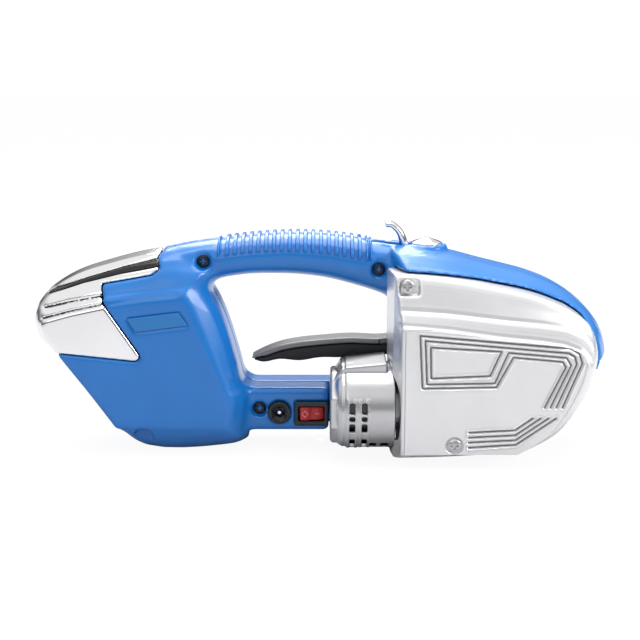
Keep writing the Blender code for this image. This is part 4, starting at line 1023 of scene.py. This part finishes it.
@dataclass
class MotorCover:
    """Bright cover over the motor: a can along X with an eight-sided flange, a saddle and vents."""

    axis: Point2 = (-30.0, 31.5)
    radius: float = 26.0
    wall: float = 2.0
    can: Line = (
        (8.0, 0.0), (8.0, 21.5), (10.5, 24.2), (13.2, 25.7), (15.5, 26.0), (43.5, 26.0),
        (43.5, 0.0))
    flange: Line = ((5.3, 0.0), (5.3, 20.2), (6.6, 21.6), (12.4, 21.6), (12.4, 0.0))
    saddle: Line = (
        (5.2, 45.2), (12.0, 56.2), (13.6, 57.4), (39.0, 59.9), (39.0, 52.0), (15.0, 51.0),
        (8.8, 43.6))
    columns: Point2 = (16.8, 24.0)
    slots: Line = ((32.0, 38.6), (27.6, 30.6), (20.8, 26.0), (6.0, 15.4))
    low_slots: Tuple[Tuple[float, ...], ...] = (
        (28.6, 32.6, 9.4, 12.2), (35.4, 40.0, 9.4, 12.2), (21.5, 40.0, 5.4, 7.6))

    def build(self) -> None:
        """Build the can: outlines in (x, distance from the axis), cut by the vents."""
        block = Block((3.6, -58.0, 3.4), (45.6, -2.0, 62.0), 0.55)
        across, up = block.y - self.axis[0], block.z - self.axis[1]
        round_r = np.hypot(across, up)
        low, high = np.abs(across), np.abs(up)
        eight = np.maximum(np.maximum(low, high), (low + high) * np.float32(0.7071))
        field = self.swept(block.x, round_r, self.can)
        field = merge(field, self.swept(block.x, eight, self.flange), 0.8)
        saddle = block.prism(self.saddle, (-43.0, -12.0), 0.9)
        field = merge(field, saddle, 0.8)
        beads = np.minimum.reduce([np.abs(np.abs(block.x - start - 1.6) - 2.4) for start in self.columns])
        field = field - 0.5 * np.exp(-(beads / 0.6) ** 2) * ramp(3.0, 6.0, -across) * (block.z < 41.0)
        field = field + 0.7 * np.exp(-((block.x - 13.9) / 0.7) ** 2)
        bore = np.maximum(round_r - self.radius + self.wall, 14.0 - block.x)
        field = carve(field, bore)
        field = carve(field, np.maximum(round_r - 17.5, 7.3 - block.x))
        field = carve(field, np.maximum(round_r - 4.2, block.x - 9.0))
        for start in self.columns:
            for bottom, top in self.slots:
                field = carve(field, block.box((start, -60.0, bottom), (start + 3.2, -41.0, top), 0.8), 0.3)
        for first, last, bottom, top in self.low_slots:
            field = carve(field, block.box((first, -60.0, bottom), (last, -34.0, top), 0.6), 0.3)
        publish("motor_cover", evened(block.skin(field), 4), CAN, "frame", "bright_silver", "motor_cover",
                crease=45.0)

    @staticmethod
    def swept(x: np.ndarray, reach: np.ndarray, outline: Sequence[Point2]) -> np.ndarray:
        """Signed distance to an outline in (x, reach) mirrored below the axis.

        Args:
            x: places along the axis.
            reach: distances from it.
            outline: half outline, above the axis.

        Returns:
            Signed distances.
        """
        mirrored = list(outline) + [(a, -b) for a, b in reversed(outline)]
        return outline_distance(np.broadcast_to(x, np.broadcast(x, reach).shape), reach, mirrored)


@dataclass
class Levers:
    """Lift lever with its grip, and the weld lever at the front of the handle."""

    top: Line = (
        (-42.4, 54.9), (-38.0, 57.3), (-25.5, 62.4), (-13.0, 64.9), (-0.6, 66.2), (18.0, 67.5),
        (38.0, 67.0), (46.0, 68.0))
    grip_under: Line = (
        (-41.6, 53.6), (-36.8, 52.1), (-25.5, 53.7), (-13.1, 52.8), (-0.6, 54.7), (11.9, 54.7),
        (24.0, 55.6), (37.0, 56.4), (44.0, 57.0))
    strip: float = 3.4
    pivot: Point2 = (50.5, 62.0)
    nose: Point2 = (59.7, 55.9)
    weld_pivot: Point2 = (50.5, 114.0)
    weld_spine: Line = (
        (50.5, 113.0), (50.9, 121.0), (49.8, 128.0), (46.8, 133.6), (41.6, 137.0), (38.9, 136.6))

    def build(self) -> None:
        """Build the three pieces."""
        block = Block((-43.5, -9.8, 50.0), (64.0, 9.8, 72.0), 0.5)
        x = block.flat_x[:, 0]
        top = along(self.top, x)
        thick = self.strip * np.minimum(1.0, 0.2 + (x + 42.4) / 11.0)
        under = (top - thick)[:, None, None]
        top = top[:, None, None]
        ends = np.maximum(-42.6 - block.x, block.x - 46.0)
        middle, half = 0.5 * (top + under), 0.5 * (top - under)
        strip = np.maximum(np.abs(block.z - middle) - half, ends)
        strip = -merge(-strip, -(np.abs(block.y) - 8.5), 1.6)
        strip = carve(strip, block.box((36.0, -12.0, 40.0), (60.0, -7.2, 90.0)))
        arm = line_distance(block.flat_x, block.flat_z, (self.pivot, self.nose))[:, None, :] - 3.6
        arm = np.maximum(arm, np.abs(block.y + 3.5) - 3.0)
        hub = block.rod("y", self.pivot, 7.8, (-6.9, 6.9))
        field = merge(merge(strip, hub, 1.5), arm, 1.0)
        field = carve(field, block.rod("y", self.pivot, 3.3, (-12.0, 12.0)))
        publish("lift_lever", block.skin(field), LEVER_GREY, "lift_lever", "cast_alloy", "lift_lever",
                crease=50.0)

        under_x = np.clip(x, -41.6, 43.5)
        low = along(self.grip_under, under_x)[:, None, None]
        high = under - 0.3
        ends = np.maximum(-41.2 - block.x, block.x - 43.5)
        middle, half = 0.5 * (high + low), 0.5 * (high - low)
        grip = np.maximum(np.abs(block.z - middle) - half, ends)
        grip = -merge(-grip, -(np.abs(block.y) - 9.0 + 0.14 * np.maximum(0.0, middle - block.z)), 3.0)
        publish("lift_lever_grip", block.skin(grip), BLACK, "lift_lever", "black_plastic", "lift_lever_grip",
                crease=50.0)
        self.build_weld_lever()

    def build_weld_lever(self) -> None:
        """Weld lever: an ellipse of half-sizes a, b carried along its spine, a shrinking from the
        hub to the tip and both closing at the ends as sqrt(1 - t^2)."""
        spine = flowing(self.weld_spine, per=12, closed=False)
        ahead = np.gradient(spine, axis=0)
        ahead /= np.hypot(*ahead.T)[:, None]
        s = np.linspace(0.0, 1.0, len(spine))
        close = np.sqrt(np.clip(1.0 - np.maximum((s - 0.93) / 0.07, 0.0) ** 2, 0.0001, 1.0))
        close *= np.sqrt(np.clip(1.0 - np.maximum((0.05 - s) / 0.05, 0.0) ** 2, 0.0001, 1.0))
        thick = (3.1 - 1.6 * s + 0.4 * ramp(0.7, 0.95, s)) * close
        wide = (3.9 + 0.2 * s) * close
        angle = np.linspace(0.0, 2.0 * math.pi, 40, endpoint=False)
        cos, sin = np.cos(angle)[None], np.sin(angle)[None]
        cos, sin = np.sign(cos) * np.abs(cos) ** 0.8, np.sign(sin) * np.abs(sin) ** 0.8
        points = np.stack([spine[:, :1] - ahead[:, 1:] * thick[:, None] * cos,
                           wide[:, None] * sin, spine[:, 1:] + ahead[:, :1] * thick[:, None] * cos], axis=-1)
        block = Block((44.5, -4.6, 100.0), (56.5, 4.6, 120.0), 0.4)
        x, z = self.weld_pivot
        hub = block.rod("y", self.weld_pivot, 5.0, (-3.8, 3.8))
        arm = block.line(((x, z), (x, z - 10.0))) - 2.6
        field = merge(hub, np.maximum(arm, np.abs(block.y) - 2.9), 1.0)
        field = carve(field, block.rod("y", self.weld_pivot, 2.8, (-6.0, 6.0)))
        publish("weld_lever_hub", block.skin(field), STEEL, "weld_lever", "chrome", crease=50.0)
        publish("weld_lever", (points.reshape(-1, 3), tube_faces(len(spine), 40)), MIRROR, "weld_lever",
                "chrome", "weld_lever", crease=50.0)


@dataclass
class Controls:
    """Tension button, power rocker in its frame, charging jack and blank label."""

    button: Point2 = (64.5, 120.0)
    rocker: Point3 = (-5.9, -18.2, 22.6)
    jack: Point2 = (-25.5, 23.3)
    label: Line = ((-115.6, 84.6), (-84.6, 88.4), (-79.6, 80.4), (-110.6, 76.4))

    def build(self) -> None:
        """Build the controls."""
        self.build_button()
        self.build_rocker()
        self.build_jack()
        block = Block((-118.0, -33.9, 74.0), (-77.0, -31.4, 91.0), 0.4)
        plate = block.prism(self.label, (-33.35, -31.9), 0.3)
        publish("label_plate", block.skin(plate), LABEL, "frame", "label", "label_plate", crease=60.0)

    def build_button(self) -> None:
        """Button: a round skirt under an eight-sided cone.

        The radius is r(h) (1 - f + f cos(pi/8) / cos(b)), where b is the angle from the nearest
        flat's middle and f is 0 on the skirt and 1 on the cone.
        """
        profile = np.asarray(((0.0, 116.2), (2.5, 116.2), (2.5, 119.5), (8.9, 119.5), (9.3, 119.9),
                              (9.3, 125.4), (9.1, 125.9), (8.6, 126.3), (8.3, 126.45), (3.3, 128.1),
                              (2.9, 128.5), (2.2, 128.7), (0.0, 128.8)))
        facet = np.asarray((0, 0, 0, 0, 0, 0, 0, 0.4, 1, 1, 0.8, 0.5, 0))[:, None]
        angle = np.linspace(0.0, 2.0 * math.pi, 96, endpoint=False)[None]
        nearest = np.mod(angle + math.pi / 8, math.pi / 4) - math.pi / 8
        shrink = 1.0 - facet + facet * math.cos(math.pi / 8) / np.cos(nearest)
        radius = np.maximum(profile[:, :1], 0.002) * shrink
        points = np.stack([self.button[0] + radius * np.cos(angle), radius * np.sin(angle),
                           np.broadcast_to(profile[:, 1:], radius.shape)], axis=-1)
        publish("tension_button", (points.reshape(-1, 3), tube_faces(len(profile), 96)), MIRROR,
                "tension_button", "chrome", "tension_button", crease=14.0)

    def build_rocker(self) -> None:
        """Rocker: a bent outline in XY, turned 10 degrees and carried along Z; its marks are a
        layer of its front skin. The frame is a box with a window."""
        block = Block((-14.5, -23.4, 17.6), (2.8, -13.5, 27.6), 0.3)
        x, y, z = self.rocker
        turn = math.radians(10.0)
        shape = np.asarray(((-7.3, -2.3), (-3.5, -3.0), (0.0, -2.5), (3.5, -3.0), (7.3, -2.3), (6.4, 1.2),
                            (0.0, 3.4), (-6.4, 1.2)))
        spin = np.asarray(((math.cos(turn), math.sin(turn)), (-math.sin(turn), math.cos(turn))))
        outline = flowing(shape @ spin + (x, y), breaks=(0, 4), per=4)
        flat = outline_distance(block.x[:, :, 0], block.y[:, :, 0], outline)[:, :, None]
        field = -merge(-flat, -(np.abs(block.z - z) - 4.1), 0.9)
        publish("power_rocker", block.skin(field), RED, "power_rocker", "red_plastic", "power_rocker",
                crease=55.0)
        diamond = np.abs(np.abs(block.x - x + 3.9) + np.abs(block.z - z) - 2.0) * 0.7 - 0.32
        along_bar = block.x - x - 3.9
        bar = np.maximum(np.abs(along_bar) - 1.5, np.abs(block.z - z + 0.1 * along_bar) - 0.35)
        marks = np.maximum(np.minimum(diamond, bar), np.abs(field + 0.02) - 0.16)
        publish("rocker_marks", block.skin(np.maximum(marks, block.y + 18.0)), MARK, "power_rocker",
                "red_plastic", crease=60.0)
        block = Block((-17.4, -22.0, 14.0), (5.6, -7.0, 31.2), 0.45)
        frame = merge(block.box((-16.2, -21.2, 15.0), (4.4, -18.9, 30.2), 0.7),
                      block.box((-14.8, -20.0, 16.6), (2.8, -8.0, 28.6), 0.5), 0.3)
        frame = carve(frame, block.box((-13.9, -30.0, 18.1), (2.1, -10.5, 27.1), 0.5), 0.3)
        publish("switch_frame", block.skin(frame), BLACK_GLOSS_AND_GROOVE_SHADE, "frame", "black_plastic", "switch_frame",
                crease=55.0)

    def build_jack(self) -> None:
        """Charging jack: a flanged socket round a bright pin."""
        x, z = self.jack
        block = Block((x - 8.0, -22.4, z - 8.0), (x + 8.0, -8.6, z + 8.0), 0.4)
        flange = block.rod("y", (x, z), 6.9, (-21.2, -19.2))
        field = merge(flange, block.rod("y", (x, z), 5.7, (-20.0, -9.2)), 0.4)
        cone = np.hypot(block.x - x, block.z - z) - 3.0 - np.maximum(0.0, -19.6 - block.y) * 1.4
        field = carve(field, np.maximum(cone, block.y + 11.0), 0.4)
        publish("charging_jack", block.skin(field), BLACK_GLOSS_AND_GROOVE_SHADE, "frame", "black_plastic", "charging_jack",
                crease=50.0)
        block = Block((x - 2.0, -21.0, z - 2.0), (x + 2.0, -9.0, z + 2.0), 0.2)
        publish("jack_pin", block.skin(block.rod("y", (x, z), 1.05, (-20.2, -10.0))), MIRROR, "frame",
                "chrome", crease=50.0)


@dataclass
class Screws:
    """Cross-head screws."""

    def build(self) -> None:
        """Build the five heads."""
        for name, place, front, radius, finish, slot in (
                ("handle_screw_rear", (-70.8, 116.4), -17.2, 4.0, NAVY, "hard_steel"),
                ("handle_screw_front", (34.8, 111.5), -17.2, 4.0, NAVY, "hard_steel"),
                ("bar_screw", (-37.7, 24.9), -17.2, 4.0, NAVY, "hard_steel"),
                ("cover_screw_upper", (50.0, 107.0), -50.6, 4.1, CAN, "chrome"),
                ("cover_screw_lower", (78.0, 14.4), -60.8, 4.2, CAN, "chrome")):
            self.head(name, place, front, radius, finish, slot)

    @staticmethod
    def head(name: str, place: Point2, front: float, radius: float, finish: Finish, slot: str) -> None:
        """Domed head: front + 1.1 (r / radius)^2.5 < y, cut by a cross 1.1 wide, on a plain shank.

        Args:
            name: the piece's name.
            place: X and Z of its axis.
            front: Y of the top of the dome.
            radius: the head's radius.
            finish: its finish.
            slot: the record's material slot.
        """
        x, z = place
        block = Block((x - radius - 0.6, front - 0.5, z - radius - 0.6), (x + radius + 0.6, front + 7.0,
                                                                     z + radius + 0.6), 0.21)
        u, v = block.x - x, block.z - z
        reach = np.hypot(u, v)
        dome = front + 1.1 * (reach / radius) ** 2.5 - block.y
        field = -merge(-(reach - radius), -np.maximum(dome * 0.85, block.y - front - 2.4), 0.5)
        deep = np.maximum(0.0, block.y - front) * 0.35
        arms = np.minimum(np.maximum(np.abs(u) - 2.5 + deep, np.abs(v) - 0.6),
                          np.maximum(np.abs(v) - 2.5 + deep, np.abs(u) - 0.6))
        field = carve(field, np.maximum(arms, block.y - front - 1.9), 0.25)
        shank = np.maximum(reach - 1.8, np.maximum(front + 2.0 - block.y, block.y - front - 6.4))
        publish(name, block.skin(np.minimum(field, shank)), finish, "frame", slot, name, crease=50.0)


@dataclass
class Mechanism:
    """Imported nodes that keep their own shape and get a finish."""

    finishes: ClassVar[Dict[str, str]] = {
        "cast_alloy": "main_frame outer_frame bearing_bracket swing_arm weld_pulley "
                      "eccentric_pulley",
        "steel": "base_plate reduction_gearhead bevel_pinion cross_shaft bevel_gear arm_drive_gear "
                 "cross_bearing_inner cross_bearing_near wheel_shaft wheel_gear arm_spring "
                 "lever_pin crank_pin strap_guide_rear strap_guide_front cover_bracket "
                 "weld_lever_shaft press_link press_crank "
                 "press_head eccentric_shaft frame_spacer_rear frame_spacer_front button_spring",
        "hard_steel": "motor_can rotor tension_wheel gripper_plate lower_weld_jaw upper_weld_jaw "
                      "cutter_blade",
        "black": "cooling_fan", "board": "control_board button_board", "wrap": "battery_pack",
        "belt": "weld_belt"}

    def dress(self, nodes: dict) -> None:
        """Put a finish in every material slot of each listed node.

        Args:
            nodes: packed objects by name.
        """
        palette = {"cast_alloy": CAST_ALLOY, "steel": STEEL, "hard_steel": HARD_STEEL, "black": BLACK,
                   "board": BOARD, "wrap": WRAP, "belt": BELT}
        for key, names in self.finishes.items():
            material = palette[key].material()
            for name in names.split():
                for place in nodes[name].material_slots:
                    place.material = material
            log.info("%s: %s", palette[key].name, names)


# ---------------------------------------------------------------- light and camera
@dataclass
class Studio:
    """White floor, soft lights and the camera."""

    distance_m: float = 0.8
    elevation: float = 12.0
    target_m: Point3 = (-0.0006, 0.0, 0.077)
    lens: float = 72.6

    def floor(self) -> None:
        """Flat pale disc under the tool. The camera sees it almost white, and it lights and mirrors
        as a mid grey."""
        points, faces = lathe(((0.0, 0.0), (0.8, 0.0), (6.0, 0.0)), 64)
        mesh = bpy.data.meshes.new("floor")
        mesh.from_pydata(points - (0.0, 0.0, 0.0004), [], faces)
        material = bpy.data.materials.new("studio_floor")
        material.use_nodes = True
        shader = material.node_tree.nodes["Principled BSDF"]
        shader.inputs["Base Color"].default_value = (0.55, 0.55, 0.56, 1.0)
        shader.inputs["Roughness"].default_value = 0.9
        nodes, links = material.node_tree.nodes, material.node_tree.links
        seen, glow, share = (nodes.new("ShaderNodeLightPath"), nodes.new("ShaderNodeEmission"),
                             nodes.new("ShaderNodeMixShader"))
        fade = nodes.new("ShaderNodeMath")
        fade.operation = "MULTIPLY"
        fade.inputs[1].default_value = 0.86
        glow.inputs["Strength"].default_value = 1.08
        links.new(seen.outputs["Is Camera Ray"], fade.inputs[0])
        links.new(fade.outputs["Value"], share.inputs["Fac"])
        links.new(shader.outputs["BSDF"], share.inputs[1])
        links.new(glow.outputs["Emission"], share.inputs[2])
        links.new(share.outputs["Shader"], nodes["Material Output"].inputs["Surface"])
        mesh.materials.append(material)
        floor = bpy.data.objects.new("floor", mesh)
        bpy.context.collection.objects.link(floor)

    def lamp(self, name: str, place: Point3, size: float, power: float) -> None:
        """Square soft light at place, facing the tool.

        Args:
            name: the lamp's name.
            place: its middle, in metres.
            size: length of a side, in metres.
            power: watts.
        """
        light = bpy.data.lights.new(name, "AREA")
        light.shape, light.size, light.energy = "SQUARE", size, power
        lamp = bpy.data.objects.new(name, light)
        spot = np.asarray(place, float)
        lamp.location = place
        away = spot - np.asarray(self.target_m)
        yaw = math.atan2(away[0], -away[1])
        lamp.rotation_euler = (math.atan2(math.hypot(away[0], away[1]), away[2]), 0.0, yaw)
        bpy.context.collection.objects.link(lamp)

    def build(self) -> None:
        """Build the floor, world, lights and camera."""
        self.floor()
        scene = bpy.context.scene
        world = bpy.data.worlds.new("studio")
        world.use_nodes = True
        nodes, links = world.node_tree.nodes, world.node_tree.links
        sky = nodes["Background"]
        place = nodes.new("ShaderNodeTexCoord")
        split = nodes.new("ShaderNodeSeparateXYZ")
        tone = nodes.new("ShaderNodeValToRGB")
        links.new(place.outputs["Generated"], split.inputs["Vector"])
        links.new(split.outputs["Z"], tone.inputs["Fac"])
        seen = nodes.new("ShaderNodeLightPath")
        pick = nodes.new("ShaderNodeMix")
        pick.data_type = "RGBA"
        links.new(seen.outputs["Is Camera Ray"], pick.inputs["Factor"])
        links.new(tone.outputs["Color"], pick.inputs["A"])
        pick.inputs["B"].default_value = (1.6, 1.6, 1.6, 1.0)
        links.new(pick.outputs["Result"], sky.inputs["Color"])
        tone.color_ramp.elements[0].position, tone.color_ramp.elements[1].position = 0.08, 0.6
        tone.color_ramp.elements[0].color = (0.2, 0.21, 0.23, 1.0)
        tone.color_ramp.elements[1].color = (1.4, 1.4, 1.4, 1.0)
        sky.inputs["Strength"].default_value = 0.65
        scene.world = world
        scene.view_settings.view_transform = "Standard"
        self.lamp("top_light", (0.1, 0.2, 1.2), 1.0, 12.0)
        self.lamp("front_light", (-0.5, -1.4, 0.9), 0.8, 1.8)
        self.lamp("right_light", (1.2, -0.5, 0.7), 0.5, 9.0)
        self.lamp("back_light", (-0.05, 1.0, 0.9), 0.7, 8.0)
        camera = bpy.data.cameras.new("camera")
        camera.lens, camera.sensor_width, camera.clip_start = self.lens, 36.0, 0.01
        viewer = bpy.data.objects.new("camera", camera)
        lift = math.radians(self.elevation)
        x, y, z = self.target_m
        viewer.location = (x, y - self.distance_m * math.cos(lift), z + self.distance_m * math.sin(lift))
        viewer.rotation_euler = (math.radians(90.0) - lift, 0.0, 0.0)
        bpy.context.collection.objects.link(viewer)
        scene.camera = viewer


def main() -> None:
    """Load the frame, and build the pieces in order."""
    logging.basicConfig(level=logging.INFO, format="%(message)s")
    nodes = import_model()["nodes"]
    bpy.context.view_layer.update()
    Studio().build()
    Housing().build()
    DriveCover().build()
    MotorCover().build()
    Levers().build()
    Controls().build()
    Screws().build()
    Mechanism().dress(nodes)


if __name__ == "__main__":
    main()
